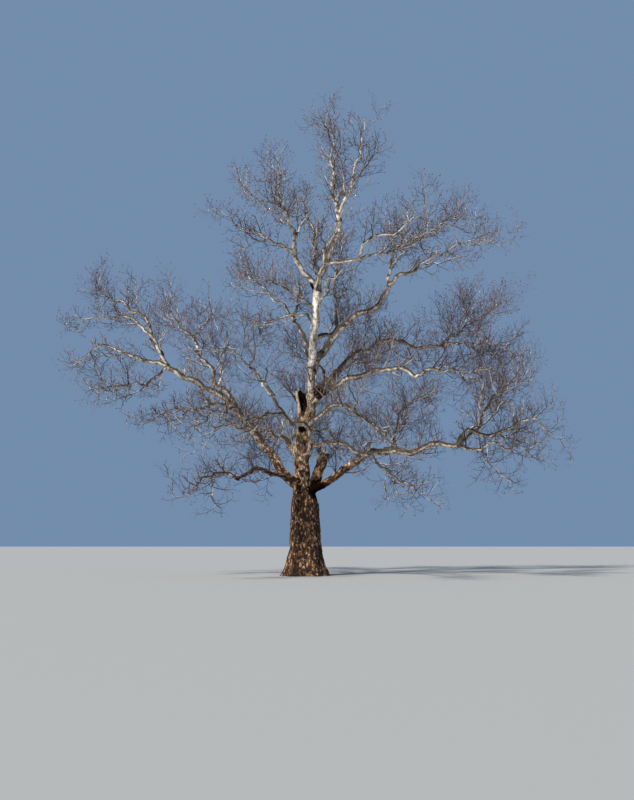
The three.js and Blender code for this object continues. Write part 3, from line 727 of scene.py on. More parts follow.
def torn_stub(name):
    """Rows up the outer wall to the rim, then down the inner wall, at shares that depend on the angle."""
    row, line, tear = STUBS[name], drawn[name], TEARS[name]
    angle = np.linspace(0, 2 * math.pi, STUB_COLUMNS, endpoint=False)
    _, across, other = carried_frames(line)
    out = np.cos(angle)[:, None] * across[-1] + np.sin(angle)[:, None] * other[-1]
    rim = rim_heights(tear, out, seeds[name], row["length"])[None]
    up = np.linspace(0, 1, WALL_ROWS)[:, None]
    down = np.linspace(0, 1, HOLE_ROWS)[:, None]
    share = np.concatenate([up * rim, rim + (1 - tear["hole"] / row["length"] - rim) * down])
    inside = (np.arange(len(share)) >= WALL_ROWS)[:, None]
    radius = bough_radius(row, share)
    local = straightened(name, share, radius, angle, STUB_STRETCH)
    crack, own = plates(local, STUB_PLATE, DRAW["plates"])
    outer = radius * (1 + STUB_LUMPS * lumps(local, STUB_LUMP_SIZE, DRAW["burr"]))
    outer = outer + STUB_DEPTH * (np.minimum(crack / CRACK_WIDTH, 1) - 0.5)
    inner = radius - WALL * (1 + WALL_LUMPS * lumps(local, WALL_LUMP_SIZE, DRAW["burr"] + 1))
    closing = np.concatenate([np.ones((WALL_ROWS, 1)), np.sqrt(1 - FLOOR_CLOSING * down)])
    reach = np.where(inside, inner, outer) * closing
    turn = np.cos(angle)[:, None] * between(across, share) + np.sin(angle)[:, None] * between(other, share)
    points = between(line, share) + turn * reach[..., None]
    weathered = tear["tan"] * np.clip((share - TAN_FROM) / TAN_SPAN, 0, 1)
    # Rot and painted shade: the inner wall is wholly black, and the broken stub is darker all over.
    rot_and_shade = np.clip(np.where(inside, 1.0, tear["rot_and_shade"] + rot_and_shade_level(points)), 0, 1)
    grids = {"pale": np.zeros_like(crack), "crack": np.minimum(crack / CRACK_SHADE, 1),
             "plate": own + weathered, "under": downward(points), "rot_and_shade": rot_and_shade, "cream": np.zeros_like(crack)}
    points, values = closed(points, grids, lambda grid: [0.0, 0.0])
    return points, tube_faces(len(share), STUB_COLUMNS), values


stub_piece = make_piece("torn_stubs", *join([torn_stub(name) for name in STUBS]))

# %% [markdown]
# ## The stems of the masses
#
# Each mass has one stem with bark like the boughs'. It thins to a twig at its tip.

# %% Stems
STEM_COLUMNS = 12
STEM_PLATE = 0.07
BRANCH_LEAST = 0.014


def bark_stem(name):
    """A stem's skin, which tapers to a twig."""
    row = MASSES[name]
    return bark_limb(name, lambda share, angle: np.maximum(stem_radius(row["radius"], row["length"], share),
                                                           BRANCH_LEAST), STEM_COLUMNS, STEM_PLATE)


stem_piece = make_piece("stems_bark", *join([bark_stem(name) for name in MASSES]))

# %% [markdown]
# ## Space that a twig may use
#
# A mass keeps to its own space, so that its outline and the gaps beside it stay. A twig is checked at points
# along it: within reach of its own stem, on its own side of the next mass's, off the limbs and off the
# ground. The distance from a point to a limb is the least over the limb's straight stretches.

# %% Distances to the limbs
TRUNK_GUARD = 0.1
TRUNK_REACH = 2.2

homes = [*MASSES, *BOUGHS, *STUBS, "trunk"]
home_seed = np.array([seeds[name] for name in homes])
home_reach = np.array([LIMBS[name]["reach"] for name in homes[:-1]] + [TRUNK_REACH])
limb_thick = np.array([np.max(LIMBS[name]["radius"]) for name in homes[:-1]]
                      + [float(trunk_radius(TRUNK_GUARD, 0))])
span_start = np.concatenate([lines[name][:-1] for name in homes])
span_way = np.concatenate([np.diff(lines[name], axis=0) for name in homes])
span_first = np.cumsum([0] + [len(lines[name]) - 1 for name in homes[:-1]])
span_square = (span_way**2).sum(-1)


def distances(points):
    """From each point to each limb: to the point's foot on each stretch, kept between the stretch's ends."""
    beside = points @ span_way.T - (span_start * span_way).sum(-1)
    along = np.clip(beside / span_square, 0, 1)
    from_start = (points**2).sum(-1)[:, None] - 2 * points @ span_start.T + (span_start**2).sum(-1)
    away = from_start - 2 * along * beside + along**2 * span_square
    return np.sqrt(np.maximum(np.minimum.reduceat(away, span_first, axis=1), 0))


print("from the origin to the trunk's line:", round(float(distances(np.zeros((1, 3)))[0, -1]), 3), "m")

# %% The test of a twig
LIMB_CLEARANCE = 0.03
MASS_CLEARANCE = 0.04
GROUND_CLEARANCE = 0.6
SPILL = 0.25
CHUNK = 5000
box_low, box_high = np.array(cad_box[0]) - SPILL, np.array(cad_box[1]) + SPILL


def keeps_clear(checks, radius, home):
    """True where all check points lie in reach, in the box, on their own side, off limbs and ground."""
    masses = len(MASSES)
    clear = np.ones(len(checks), dtype=bool)
    for first in range(0, len(checks), CHUNK):
        part = slice(first, first + CHUNK)
        rows = np.arange(len(checks[part]))
        for point in np.moveaxis(checks[part], 1, 0):
            away = distances(point)
            own = away[rows, home[part]].copy()
            away[rows, home[part]] = np.inf
            others = (away[:, :masses] - limb_thick[:masses]).min(-1)
            off = (away[:, masses:] - limb_thick[masses:]).min(-1)
            good = (own <= home_reach[home[part]]) & (point[:, 2] >= GROUND_CLEARANCE)
            good &= ((point > box_low) & (point < box_high)).all(-1)
            clear[part] &= good & (others >= own + MASS_CLEARANCE) & (off >= radius[part] + LIMB_CLEARANCE)
    return clear


print("a twig may stand from", box_low.round(2), "to", box_high.round(2))

# %% [markdown]
# ## The rule of the twigs
#
# Twigs grow in orders. Every twig of an order leaves its carrier at a lean, turned round it by the golden
# angle from the one before, and curves up to the light as it grows, with a kink at each step. A twig that
# would leave its mass's space is tried shorter, and left out if that fails too. All twigs of an order are
# worked out together as arrays.

# %% Walking twigs
FIRST_TWIG = 0.07
LAST_PLACE = 0.999
FINE_TIP = 0.5


def turned(vector, axis, angle):
    """A vector turned round an axis: its part along the axis stays, and the rest turns by sine and cosine."""
    cosine, sine = np.cos(angle)[:, None], np.sin(angle)[:, None]
    along = axis * (axis * vector).sum(-1, keepdims=True)
    return along + (vector - along) * cosine + np.cross(axis, vector) * sine


def place_on(paths, steps, index, share):
    """The point and the heading at a share of each chosen path."""
    place = np.clip(share, 0, LAST_PLACE) * steps[index]
    first = place.astype(int)
    a, b = paths[index, first], paths[index, first + 1]
    return a + (b - a) * (place - first)[:, None], unit(b - a)


def walk(foot, start, side, length, order, seed, item):
    """The foot, then equal steps that each turn about the side by chance and lift towards the light."""
    path, way = [foot], start
    for k in range(order["steps"]):
        swing = np.radians(order["waver"] * (2 * chance(seed, item, DRAW["waver"] + k) - 1))
        way = unit(turned(way, side, swing) + [0, 0, order["lift"]])
        path.append(path[-1] + way * (length / order["steps"])[:, None])
    return np.stack(path, 1)


def midway(paths):
    """The stations after the first, with a point halfway along each step."""
    return np.concatenate([(paths[:, 1:] + paths[:, :-1]) / 2, paths[:, 1:]], axis=1)


def bundle(paths, radius, home, item, parent=None, share=None, tip=FINE_TIP):
    """Twigs as a set of arrays that the next order can grow on."""
    length = np.linalg.norm(paths[:, 0] - paths[:, -1], axis=-1)
    return {
        "paths": paths, "steps": np.full(len(paths), paths.shape[1] - 1), "length": length, "base": length,
        "home": home, "radius": radius, "first": FIRST_TWIG, "item": item, "parent": parent, "share": share,
        "radius_at": lambda index, share: radius[index] * (1 + (tip - 1) * share),
    }


# %% [markdown]
# Not every part of the crown is as thick with twigs. In front of the trunk they are sparse, so that the pale
# limbs show, and at the top left and low on the left they crowd. A table gives the masses that differ their
# share of an order's usual count.

# %% How dense each mass is
DENSITY = {
    "front_high": 0.25, "front_crown": 0.35, "front_left_up": 0.45, "left_mid_front": 0.6, "left_mid": 0.8,
    "left_low_back": 0.75, "left_low_up": 0.8, "left_stem": 0.85, "left_low_fan": 0.85, "left_low_under": 1.2,
    "left_low_side": 1.3, "left_low_hang": 0.85, "back_low_left": 1.1, "front_left_out": 0.55,
    "front_right_out": 0.75, "right_high_up": 0.8, "right_high_out": 0.8, "right_crown_out": 0.85,
    "right_crown_up": 0.8, "right_low_out": 0.85, "right_low_inner": 1.1, "right_low_under": 1.1,
    "right_mid_out": 1.1, "right_back_out": 1.1, "back_high_left": 0.75, "back_high_right": 0.8,
    "back_mid_left": 0.8, "back_mid_right": 0.8, "top_left": 1.2, "top_right": 0.85,
}
home_density = np.array([DENSITY.get(name, 1.0) for name in homes])
print(len(DENSITY), "masses differ from the usual count")

# %% Growing one order
PLACE = 0.35
PLACE_SPREAD = 0.5
TURN = 137.5
TURN_SPREAD = 60
LEAN_SPREAD = 26
LENGTH_SPREAD = 0.5
SHORTER = (1, 0.72, 0.5)
TWIG_THICKNESS = 0.5
RADIUS_SPREAD = 0.6
SLIMMER = 0.8
used = np.zeros(len(homes), dtype=int)


def numbered(home):
    """A number for each new twig, counted up within its home from the ones that are used already."""
    by_home = np.argsort(home, kind="stable")
    per_home = np.bincount(home, minlength=len(homes))
    item = np.empty_like(home)
    item[by_home] = np.arange(len(home)) - np.repeat(np.cumsum(per_home) - per_home, per_home)
    item += used[home] + 1
    used[:] += per_home
    return item


def grow(carriers, order):
    """All twigs of one order on a set of carriers: places, leans and lengths by the rule, as arrays."""
    density = home_density[carriers["home"]] if order.get("by_mass") else 1
    count = np.maximum(1, np.floor(density * carriers["length"] / order["spacing"] + 0.5)).astype(int)
    parent = np.repeat(np.arange(len(count)), count)
    number = np.arange(count.sum()) - np.repeat(np.cumsum(count) - count, count)
    home = carriers["home"][parent]
    item, seed, first = numbered(home), home_seed[home], carriers["first"]
    step = number + PLACE + PLACE_SPREAD * chance(seed, item, DRAW["place"])
    share = first + (1 - first) * step / count[parent]
    vary = 1 + spread(LENGTH_SPREAD, seed, item, "length")
    length = carriers["base"][parent] * order["share"] * (1 - order["shortening"] * share) * vary
    carried_by = carriers["radius_at"](parent, share)
    radius = np.clip(TWIG_THICKNESS * carried_by, THINNEST, None)
    if "radius" in order:
        wanted = order["radius"] * (1 + spread(RADIUS_SPREAD, seed, item, "radius"))
        radius = np.minimum(wanted, SLIMMER * carried_by)
    foot, facing = place_on(carriers["paths"], carriers["steps"], parent, share)
    turn = np.radians(TURN * item + spread(TURN_SPREAD, seed, item, "turn"))
    side = turned(unit(np.cross([0.0, 0.0, 1.0], facing)), facing, turn)
    lean = np.radians(order["lean"] + spread(LEAN_SPREAD, seed, item, "lean"))[:, None]
    start = facing * np.cos(lean) + side * np.sin(lean)
    paths = np.zeros((len(item), order["steps"] + 1, 3))
    fitted = np.zeros(len(item), dtype=bool)
    for less in SHORTER:
        left = np.flatnonzero(~fitted)
        path = walk(foot[left], start[left], side[left], length[left] * less, order, seed[left], item[left])
        checks = midway(path) if order.get("exact") else path[:, 1:]
        clear = keeps_clear(checks, radius[left], home[left])
        paths[left[clear]] = path[clear]
        fitted[left[clear]] = True
    return bundle(*(kept[fitted] for kept in (paths, radius, home, item, parent, share)),
                  order.get("tip", FINE_TIP))


# %% [markdown]
# ## The source's two orders
#
# The first two orders are the ones that the solids have, twig for twig. They are grown on the straight
# stretches, and then each is made crooked and its foot is moved onto the crooked limb that it grows from.

# %% Large branches
LARGE = dict(spacing=1.22, lean=54, share=0.98, shortening=0.38, steps=2, waver=16, lift=0.3, exact=True,
             tip=0.35)
SMALL = dict(LARGE, spacing=1.7, lean=46, share=0.6, shortening=0.3, steps=1)
BRANCH_CROOK = 0.13
BRANCH_TIMES = 3
BOUGH_SLIM = 0.5


def limb_set(names, table, first, base=None):
    """Whole limbs as carriers of twigs. Shorter lines are filled up, as only their own steps are read."""
    steps = np.array([len(table[name]) - 1 for name in names])
    paths = [np.pad(table[name], ((0, steps.max() + 1 - len(table[name])), (0, 0))) for name in names]
    length = np.array([limb_length[name] for name in names])
    home = np.array([homes.index(name) for name in names])
    foot, is_stem = limb_thick[home], home < len(MASSES)
    return {
        "paths": np.stack(paths), "steps": steps, "length": length, "home": home, "first": first,
        "base": home_reach[home] if base is None else np.full(len(names), base), "radius": foot,
        "radius_at": lambda index, share: np.where(
            is_stem[index], stem_radius(foot[index], length[index], share), BOUGH_SLIM * foot[index]),
    }


def onto_limb(twigs, carriers, moved):
    """The twigs made crooked, with their feet moved from the old carriers onto the moved ones."""
    bent = crooked(twigs["paths"], BRANCH_TIMES, BRANCH_CROOK, home_seed[twigs["home"]], twigs["item"])
    old, new = (place_on(these["paths"], these["steps"], twigs["parent"], twigs["share"])[0]
                for these in (carriers, moved))
    fade = np.linspace(1, 0, bent.shape[1])[None, :, None]
    radius = np.maximum(twigs["radius"], BRANCH_LEAST)
    return bundle(bent + (new - old)[:, None] * fade, radius, twigs["home"], twigs["item"])


straight_stems = limb_set(list(MASSES), lines, FIRST_TWIG)
straight_large = grow(straight_stems, LARGE)
straight_small = grow(straight_large, SMALL)
stems = limb_set(list(MASSES), drawn, FIRST_TWIG)
large = onto_limb(straight_large, straight_stems, stems)
small = onto_limb(straight_small, straight_large, large)
print(len(large["paths"]), "large branches and", len(small["paths"]), "smaller ones on them")

# %% [markdown]
# ## Finer and finer
#
# The next orders carry the same rule on to finer twigs, on the stems, the branches and the boughs, where
# upright shoots break from old wood. Each order is shorter than its carrier, and its twigs stand closer.

# %% The finer orders
LIMBLETS = dict(spacing=0.52, lean=50, share=0.85, shortening=0.35, steps=7, waver=27, lift=0.16,
                radius=0.023, by_mass=True)
SHOOTS = dict(LIMBLETS, spacing=0.62, steps=8, radius=0.029)
BRANCHLETS = dict(spacing=0.27, lean=50, share=0.62, shortening=0.3, steps=4, waver=30, lift=0.15,
                  radius=0.0148, by_mass=True)
STEM_BRANCHLETS = dict(BRANCHLETS, spacing=0.5)
WOOD_BRANCHLETS = dict(BRANCHLETS, spacing=0.9)
TWIGLETS = dict(spacing=0.19, lean=48, share=0.55, shortening=0.3, steps=3, waver=28, lift=0.15,
                radius=0.0106)
SPRAYS = dict(spacing=0.14, lean=44, share=0.6, shortening=0.2, steps=1, waver=24, lift=0.15, radius=0.0064)
LIMBLET_STATIONS = 9
TWIG_STATIONS = 5
THIN_FROM = 15.0
THIN_TO = 24.0
THIN_LEAST = 0.8


def together(*sets, stations=TWIG_STATIONS):
    """Several sets of twigs as one, with each path read at the same number of stations."""
    paths = []
    for group in sets:
        index = np.arange(len(group["paths"]))
        paths.append(np.stack([place_on(group["paths"], group["steps"], index, np.full(len(index), share))[0]
                               for share in np.linspace(0, 1, stations)], 1))
    rest = (np.concatenate([group[key] for group in sets]) for key in ("radius", "home", "item"))
    return bundle(np.concatenate(paths), *rest)


def thinned(group):
    """Leaves out more of the twigs the higher they stand: the share kept falls evenly between two heights."""
    kept = np.interp(group["paths"][:, -1, 2], [THIN_FROM, THIN_TO], [1, THIN_LEAST])
    mask = chance(group["home"], group["item"], DRAW["thinning"]) < kept
    return bundle(*(group[key][mask] for key in ("paths", "radius", "home", "item")))


# %% [markdown]
# A torn stub sprouts a broom of dark upright shoots round its rim. They lean out by different amounts, and
# most of them are short. None stands on the side that faces the camera, so that the hole stays open to view.

# %% Shoots on the stubs
SPROUTS = dict(steps=4, waver=16, lift=0.2)
SPROUT_COUNT = {"hollow": 60, "broken": 16}
SPROUT_LENGTH = {"hollow": 1.3, "broken": 0.75}
SPROUT_RADIUS = 0.022
SPROUT_PLACE = (0.7, 0.19)
SPROUT_SHARES = (0.35, 1.3)
SPROUT_LEANS = (0.3, 1.2)
SPROUT_SEAT = 0.95
BARE_FRONT = -0.4


def sprouts(name):
    """Upright shoots that stand in the rim of a stub, each leaning out at the place where it stands."""
    line, row, item = drawn[name], STUBS[name], np.arange(SPROUT_COUNT[name])
    draws = [chance(seeds[name], item, DRAW["sprout"] + k) for k in range(4)]
    facing, across, other = carried_frames(line)
    share = SPROUT_PLACE[0] + SPROUT_PLACE[1] * draws[0]
    angle = 2 * math.pi * draws[1][:, None]
    out = np.cos(angle) * across[-1] + np.sin(angle) * other[-1]
    foot = between(line, share) + out * SPROUT_SEAT * bough_radius(row, share)[:, None]
    length = SPROUT_LENGTH[name] * (SPROUT_SHARES[0] + SPROUT_SHARES[1] * draws[2] ** 2)
    lean = (SPROUT_LEANS[0] + SPROUT_LEANS[1] * draws[3])[:, None]
    side = unit(np.cross(facing[-1], out))
    seed, home = np.full(len(item), seeds[name]), np.full(len(item), homes.index(name))
    paths = walk(foot, unit(facing[-1] + lean * out), side, length, SPROUTS, seed, item)
    back = out[:, 1] > BARE_FRONT
    return bundle(paths[back], np.full(back.sum(), SPROUT_RADIUS), home[back], item[back])


broom = together(*[sprouts(name) for name in STUBS])

# %% Growing the rest of the crown
OLD_WOOD = 0.35
BOUGH_SHOOTS = 3.2
STEM_SHOOTS = 1.7
wood = limb_set([*BOUGHS, "trunk"], drawn, OLD_WOOD, BOUGH_SHOOTS)
stem_shoots = limb_set(list(MASSES), drawn, FIRST_TWIG, STEM_SHOOTS)
limblets = thinned(together(grow(stems, LIMBLETS), grow(wood, SHOOTS), stations=LIMBLET_STATIONS))
branchlets = thinned(together(grow(together(large, small, limblets, broom), BRANCHLETS),
                              grow(stem_shoots, STEM_BRANCHLETS), grow(wood, WOOD_BRANCHLETS)))
twiglets = thinned(grow(branchlets, TWIGLETS))
fine_twigs = {"branchlets": branchlets, "twiglets": twiglets, "sprays": grow(twiglets, SPRAYS)}
for kind, group in {"limblets": limblets, **fine_twigs}.items():
    print(len(group["paths"]), kind, "of about", round(float(group["length"].mean()), 2), "m")

# %% [markdown]
# ## Twigs as tubes
#
# Thousands of twigs can't each have many faces. A large branch gets six sides, a fine twig three, and each
# ends in a point. The tubes of one kind and tint are joined into one mesh.

# %% Tubes for many paths at once
STEEP = 0.7


def tubes(group, sides):
    """Rings round every station but the last, which is a point, and how far each ring's point faces down."""
    paths, count, stations = group["paths"], *group["paths"].shape[:2]
    facing = unit(np.gradient(paths, axis=1))
    mean = unit(paths[:, -1] - paths[:, 0])
    helper = np.where(np.abs(mean[:, 2:3]) > STEEP, [[1.0, 0.0, 0.0]], [[0.0, 0.0, 1.0]])[:, None]
    across = unit(np.cross(facing, helper))
    other = np.cross(across, facing)
    angle = 2 * math.pi * np.arange(sides) / sides
    radius = group["radius"][:, None] * (1 + (FINE_TIP - 1) * np.linspace(0, 1, stations))[None]
    out = across[:, :, None] * np.cos(angle)[:, None] + other[:, :, None] * np.sin(angle)[:, None]
    rings = paths[:, :, None] + out * radius[..., None, None]
    points = np.concatenate([rings[:, :-1].reshape(count, -1, 3), paths[:, -1:]], axis=1)
    row, column = np.meshgrid(np.arange(stations - 2), np.arange(sides), indexing="ij")
    a = (row * sides + column).ravel()
    b = (row * sides + (column + 1) % sides).ravel()
    walls = np.concatenate([np.stack([a, b + sides, b], -1), np.stack([a, a + sides, b + sides], -1)])
    rim = (stations - 2) * sides
    tip = np.stack([np.full(sides, points.shape[1] - 1), rim + (np.arange(sides) + 1) % sides,
                    rim + np.arange(sides)], -1)
    cap = np.stack([np.zeros(sides - 2, int), np.arange(1, sides - 1), np.arange(2, sides)], -1)
    faces = np.concatenate([walls, tip, cap])[None] + (np.arange(count) * points.shape[1])[:, None, None]
    under = np.concatenate([-out[:, :-1, :, 2].reshape(count, -1), np.zeros((count, 1))], axis=1)
    return points.reshape(-1, 3), faces.reshape(-1, 3), {"under": under.ravel()}


SIDES = {"branches_large": 6, "branches_small": 5, "limblets": 5, "sprouts": 4}
*branch_pieces, sprout_piece = [make_piece(name, *tubes(group, SIDES[name]))
                                for name, group in zip(SIDES, (large, small, limblets, broom))]

# %% [markdown]
# Fine twigs are dealt into tints by spray, so that neighbours on one branchlet match while the crown as a
# whole is mixed, as it is where young red wood and older grey wood grow side by side. The tints are also
# painted
# light: the pale grey branchlets and twiglets stand in for sunlit twigs, and the near-black mauve ones for
# twigs in shade.

# %% Tints
WOOD_AND_PAINTED_LIGHT_TINTS = ("mauve", "russet", "grey")
SPRAY_SIZE = 30
TWIG_SIDES = 3

twig_pieces = {}
for kind, group in fine_twigs.items():
    tint_of = (len(WOOD_AND_PAINTED_LIGHT_TINTS) * chance(group["home"], group["item"] // SPRAY_SIZE, DRAW["tint"])).astype(int)
    for k, tint in enumerate(WOOD_AND_PAINTED_LIGHT_TINTS):
        part = {key: group[key][tint_of == k] for key in ("paths", "radius")}
        twig_pieces[kind, tint] = make_piece(f"{kind}_{tint}", *tubes(part, TWIG_SIDES)[:2])

# %% [markdown]
# ## Seed balls and buds
#
# A plane tree keeps its round seed balls all winter, each on a long thin stalk, and in early spring red
# flower heads swell at the tips of its twigs, most of them high in the crown. They are dots at this distance,
# so each ball has only a few dozen faces, each bud has eight, and each stalk is a three-sided tube.

# %% Balls and stalks
BALLS = 1600
BALL_RADIUS = 0.024
BALL_SIZES = (0.8, 0.4)
BALL_SINK = 0.6
STALK_RADIUS = 0.003
DROPS = (0.07, 0.06)
SWING = 0.04
STALK_BEND = 0.3
BALL_SEED = 5


def ball_shape(rings=4, around=6):
    """Points of a sphere: rings at even angles from pole to pole, with a point at each pole."""
    tilt = (math.pi * np.arange(1, rings) / rings)[:, None]
    turn = 2 * math.pi * np.arange(around) / around
    ring = np.broadcast_arrays(np.sin(tilt) * np.cos(turn), np.sin(tilt) * np.sin(turn), -np.cos(tilt))
    points = np.vstack([np.stack(ring, -1).reshape(-1, 3), [[0, 0, -1.0], [0, 0, 1.0]]])
    return points, tube_faces(rings - 1, around)[:, ::-1]


def many(name, shape, middles, sizes):
    """One piece made of a shape repeated at each middle, at its own size."""
    points, faces = shape
    placed = middles[:, None] + points[None] * sizes[:, None, None]
    starts = (np.arange(len(middles)) * len(points))[:, None, None]
    return make_piece(name, placed.reshape(-1, 3), (faces[None] + starts).reshape(-1, 3))


pick = np.argsort(chance(twiglets["home"], twiglets["item"], DRAW["ball"]))[:BALLS]
hang = twiglets["paths"][pick, -2]
drop = DROPS[0] + DROPS[1] * chance(BALL_SEED, pick, DRAW["drop"])
sway = [chance(BALL_SEED, pick, DRAW["swing"] + axis) - 0.5 for axis in range(2)]
swing = SWING * np.stack([*sway, np.zeros(len(pick))], -1)
low = hang + swing - drop[:, None] * [0, 0, 1]
stalks = {"paths": np.stack([hang, (hang + low) / 2 + STALK_BEND * swing, low], 1),
          "radius": np.full(BALLS, STALK_RADIUS)}
stalk_piece = make_piece("seed_stalks", *tubes(stalks, TWIG_SIDES)[:2])
ball_piece = many("seed_balls", ball_shape(), low - [0, 0, BALL_SINK * BALL_RADIUS],
                  BALL_RADIUS * (BALL_SIZES[0] + BALL_SIZES[1] * chance(BALL_SEED, pick, DRAW["size"])))

# %% Buds
BUDS = 8000
BUD_RADIUS = 0.028
BUD_SIZES = (0.7, 0.6)
BUD_SEED = 6
BUDS_FROM = 8.0
BUDS_TO = 17.0
BUDS_LEAST = 0.12

budding = np.interp(twiglets["paths"][:, -1, 2], [BUDS_FROM, BUDS_TO], [BUDS_LEAST, 1])
pick = np.argsort(chance(twiglets["home"], twiglets["item"], DRAW["bud"]) / budding)[:BUDS]
bud_piece = many("flower_buds", ball_shape(2, 4), twiglets["paths"][pick, -1],
                 BUD_RADIUS * (BUD_SIZES[0] + BUD_SIZES[1] * chance(BUD_SEED, pick, DRAW["size"])))

# %% [markdown]
# ## The finish of the bark
#
# The bark's material reads the numbers on the points. Old bark runs from black-brown cracks to rust-brown
# plates. Pale bark is cream with tan and grey patches that are left from the flakes, and darker underneath,
# partly where it stays damp and partly as painted shade. The change between them is ragged, because a noise
# shifts where it falls. All of this is sums and products of a node's outputs, so a small class lets them be
# written as sums and products.

# %% Sums of a node's outputs
class Wire:
    """A node's output that can be added, subtracted and multiplied as if it were a number."""

    def __init__(self, add, socket):
        self.add, self.socket = add, socket

    def result(self, operation, first, second, clamp=False):
        """The output of a Math node."""
        return self.add("ShaderNodeMath", 0, {0: first, 1: second}, operation=operation, use_clamp=clamp)

    def __add__(self, other):
        return self.result("ADD", self, other)

    def __sub__(self, other):
        return self.result("SUBTRACT", self, other)

    def __rsub__(self, other):
        return self.result("SUBTRACT", other, self)

    def __mul__(self, other):
        return self.result("MULTIPLY", self, other)

    def held(self, factor):
        """The product with a factor, held between 0 and 1."""
        return self.result("MULTIPLY", self, factor, clamp=True)


# %% Node helpers
def new_material(name):
    """A material, a function that adds a node and gives an output, and one that fills its shader's inputs."""
    material = bpy.data.materials.new(name)
    material.use_nodes = True
    tree = material.node_tree

    def fill(node, inputs):
        for key, value in inputs.items():
            if isinstance(value, Wire):
                tree.links.new(value.socket, node.inputs[key])
            else:
                node.inputs[key].default_value = value

    def add(kind, output, inputs=None, **settings):
        node = tree.nodes.new(kind)
        for key, value in settings.items():
            setattr(node, key, value)
        fill(node, inputs or {})
        return Wire(add, node.outputs[output])

    return material, add, lambda inputs: fill(tree.nodes["Principled BSDF"], inputs)


def ramp(add, factor, stops):
    """A colour ramp from a list of places and colours."""
    colour = add("ShaderNodeValToRGB", "Color", {"Fac": factor})
    elements = colour.socket.node.color_ramp.elements
    while len(elements) < len(stops):
        elements.new(0.5)
    for element, (place, shade) in zip(elements, stops):
        element.position, element.color = place, (*shade, 1)
    return colour


def mix(add, factor, a, b):
    """Two colours mixed by a factor."""
    return add("ShaderNodeMix", 2, {0: factor, 6: a, 7: b}, data_type="RGBA", blend_type="MIX")


def noise(add, place, scale, detail, roughness=0.6):
    """A noise from 0 to 1 of a given scale."""
    return add("ShaderNodeTexNoise", "Fac", {"Vector": place, "Scale": scale, "Detail": detail,
                                             "Roughness": roughness})


def bump(add, height, distance, strength):
    """The normals of a fine relief."""
    return add("ShaderNodeBump", "Normal", {"Height": height, "Distance": distance, "Strength": strength})


# %% [markdown]
# Old bark takes its tone from the plate, a fine noise and a coarse one, and the tone runs through a ramp. It
# is darker below the great forks, a painted shade for the shade at the trunk's foot, and black-brown in the
# cracks.

# %% Old bark
OLD_STOPS = [(0.32, (0.012, 0.006, 0.003)), (0.46, (0.06, 0.026, 0.01)), (0.56, (0.21, 0.096, 0.038)),
             (0.66, (0.48, 0.27, 0.135)), (0.8, (0.74, 0.55, 0.39))]
OLD_PLATE, OLD_GRAIN, OLD_COARSE = 0.45, 0.4, 0.25
HEIGHT_SHADE_FROM, HEIGHT_SHADE_SLOPE, HEIGHT_SHADE_REST, PAINTED_HEIGHT_SHADE = 4.0, 0.5, 0.35, 0.22
CRACK_STRENGTH = 0.9
CRACK_COLOUR = (0.01, 0.006, 0.004, 1)


def old_colour(add, plate, crack, grain, coarse, height):
    """Rust-brown plates of mixed tone with a painted shade below the great forks, and black-brown cracks."""
    tone = plate * OLD_PLATE + grain * OLD_GRAIN + coarse * OLD_COARSE
    # Painted shade: the tone drops below the great forks and rises above them.
    tone = tone + ((height - HEIGHT_SHADE_FROM).held(HEIGHT_SHADE_SLOPE) - HEIGHT_SHADE_REST) * PAINTED_HEIGHT_SHADE
    return mix(add, (1.0 - crack) * CRACK_STRENGTH, ramp(add, tone, OLD_STOPS), CRACK_COLOUR)


# %% [markdown]
# Young bark takes its tone from the plate and from patches, and more cream makes it richer. It is dark where
# it faces down, partly damp and partly painted shade, and that dark reaches further up its sides where it has
# less cream.

# %% Young bark
YOUNG_STOPS = [(0.36, (0.1, 0.075, 0.05)), (0.42, (0.36, 0.29, 0.21)), (0.5, (0.44, 0.36, 0.27)),
               (0.54, (0.66, 0.58, 0.48)), (0.74, (0.93, 0.88, 0.82))]
YOUNG_PLATE, YOUNG_PATCH = 0.3, 0.85
RICH_REST, RICHER = 0.65, 0.16
GRAIN_STRENGTH = 0.2
GRAIN_COLOUR = (0.3, 0.24, 0.17, 1)
DAMP_SHADE_GRAIN, DAMP_SHADE_SHARP = 1.2, 2.0
DULL_BELOW, DULLER = 0.95, 0.42
DAMP_AND_SHADE_COLOUR = (0.045, 0.031, 0.018, 1)


def young_colour(add, plate, grain, patch, under, cream):
    """Tan to cream skin with brown and olive-grey patches, dark where it faces down, from damp and painted
    shade.
    """
    tone = plate * YOUNG_PLATE + patch * YOUNG_PATCH + (cream - RICH_REST) * RICHER
    colour = mix(add, grain * GRAIN_STRENGTH, ramp(add, tone, YOUNG_STOPS), GRAIN_COLOUR)
    # Painted shade with damp: darker facing down, and further up the sides where the cream is less.
    damp_and_shade = under + (grain - 0.5) * DAMP_SHADE_GRAIN + (DULL_BELOW - cream) * DULLER
    return mix(add, damp_and_shade.held(DAMP_SHADE_SHARP), colour, DAMP_AND_SHADE_COLOUR)


# %% [markdown]
# The two meet where the bark is about half pale. The patches and the plates shift that place, most where the
# bark is halfway and not at all where it is wholly old or wholly young: by four times the paleness times the
# rest. Black rot and painted shade cover both in the crotches and the holes, and take the sheen off there.

# %% Bark
PATCH_SHIFT, PLATE_SHIFT = 2.2, 0.9
CHANGE_AT, CHANGE_SHARP = 0.42, 4.0
ROT_SHADE_GRAIN, ROT_SHADE_AT, ROT_SHADE_SHARP = 0.8, 0.35, 3.5
ROT_AND_SHADE_COLOUR = (0.005, 0.003, 0.002, 1)
OLD_ROUGH, YOUNG_SMOOTHER = 0.95, 0.25
BARK_SHEEN = 0.4
FINE_RELIEF = 0.5
BARK_BUMP = (0.03, 0.8)
BARK_NOISES = {"grain": (9.0, 6.0, 0.68), "fine": (40.0, 4.0), "patch": (3.4, 4.0), "coarse": (1.3, 3.0)}


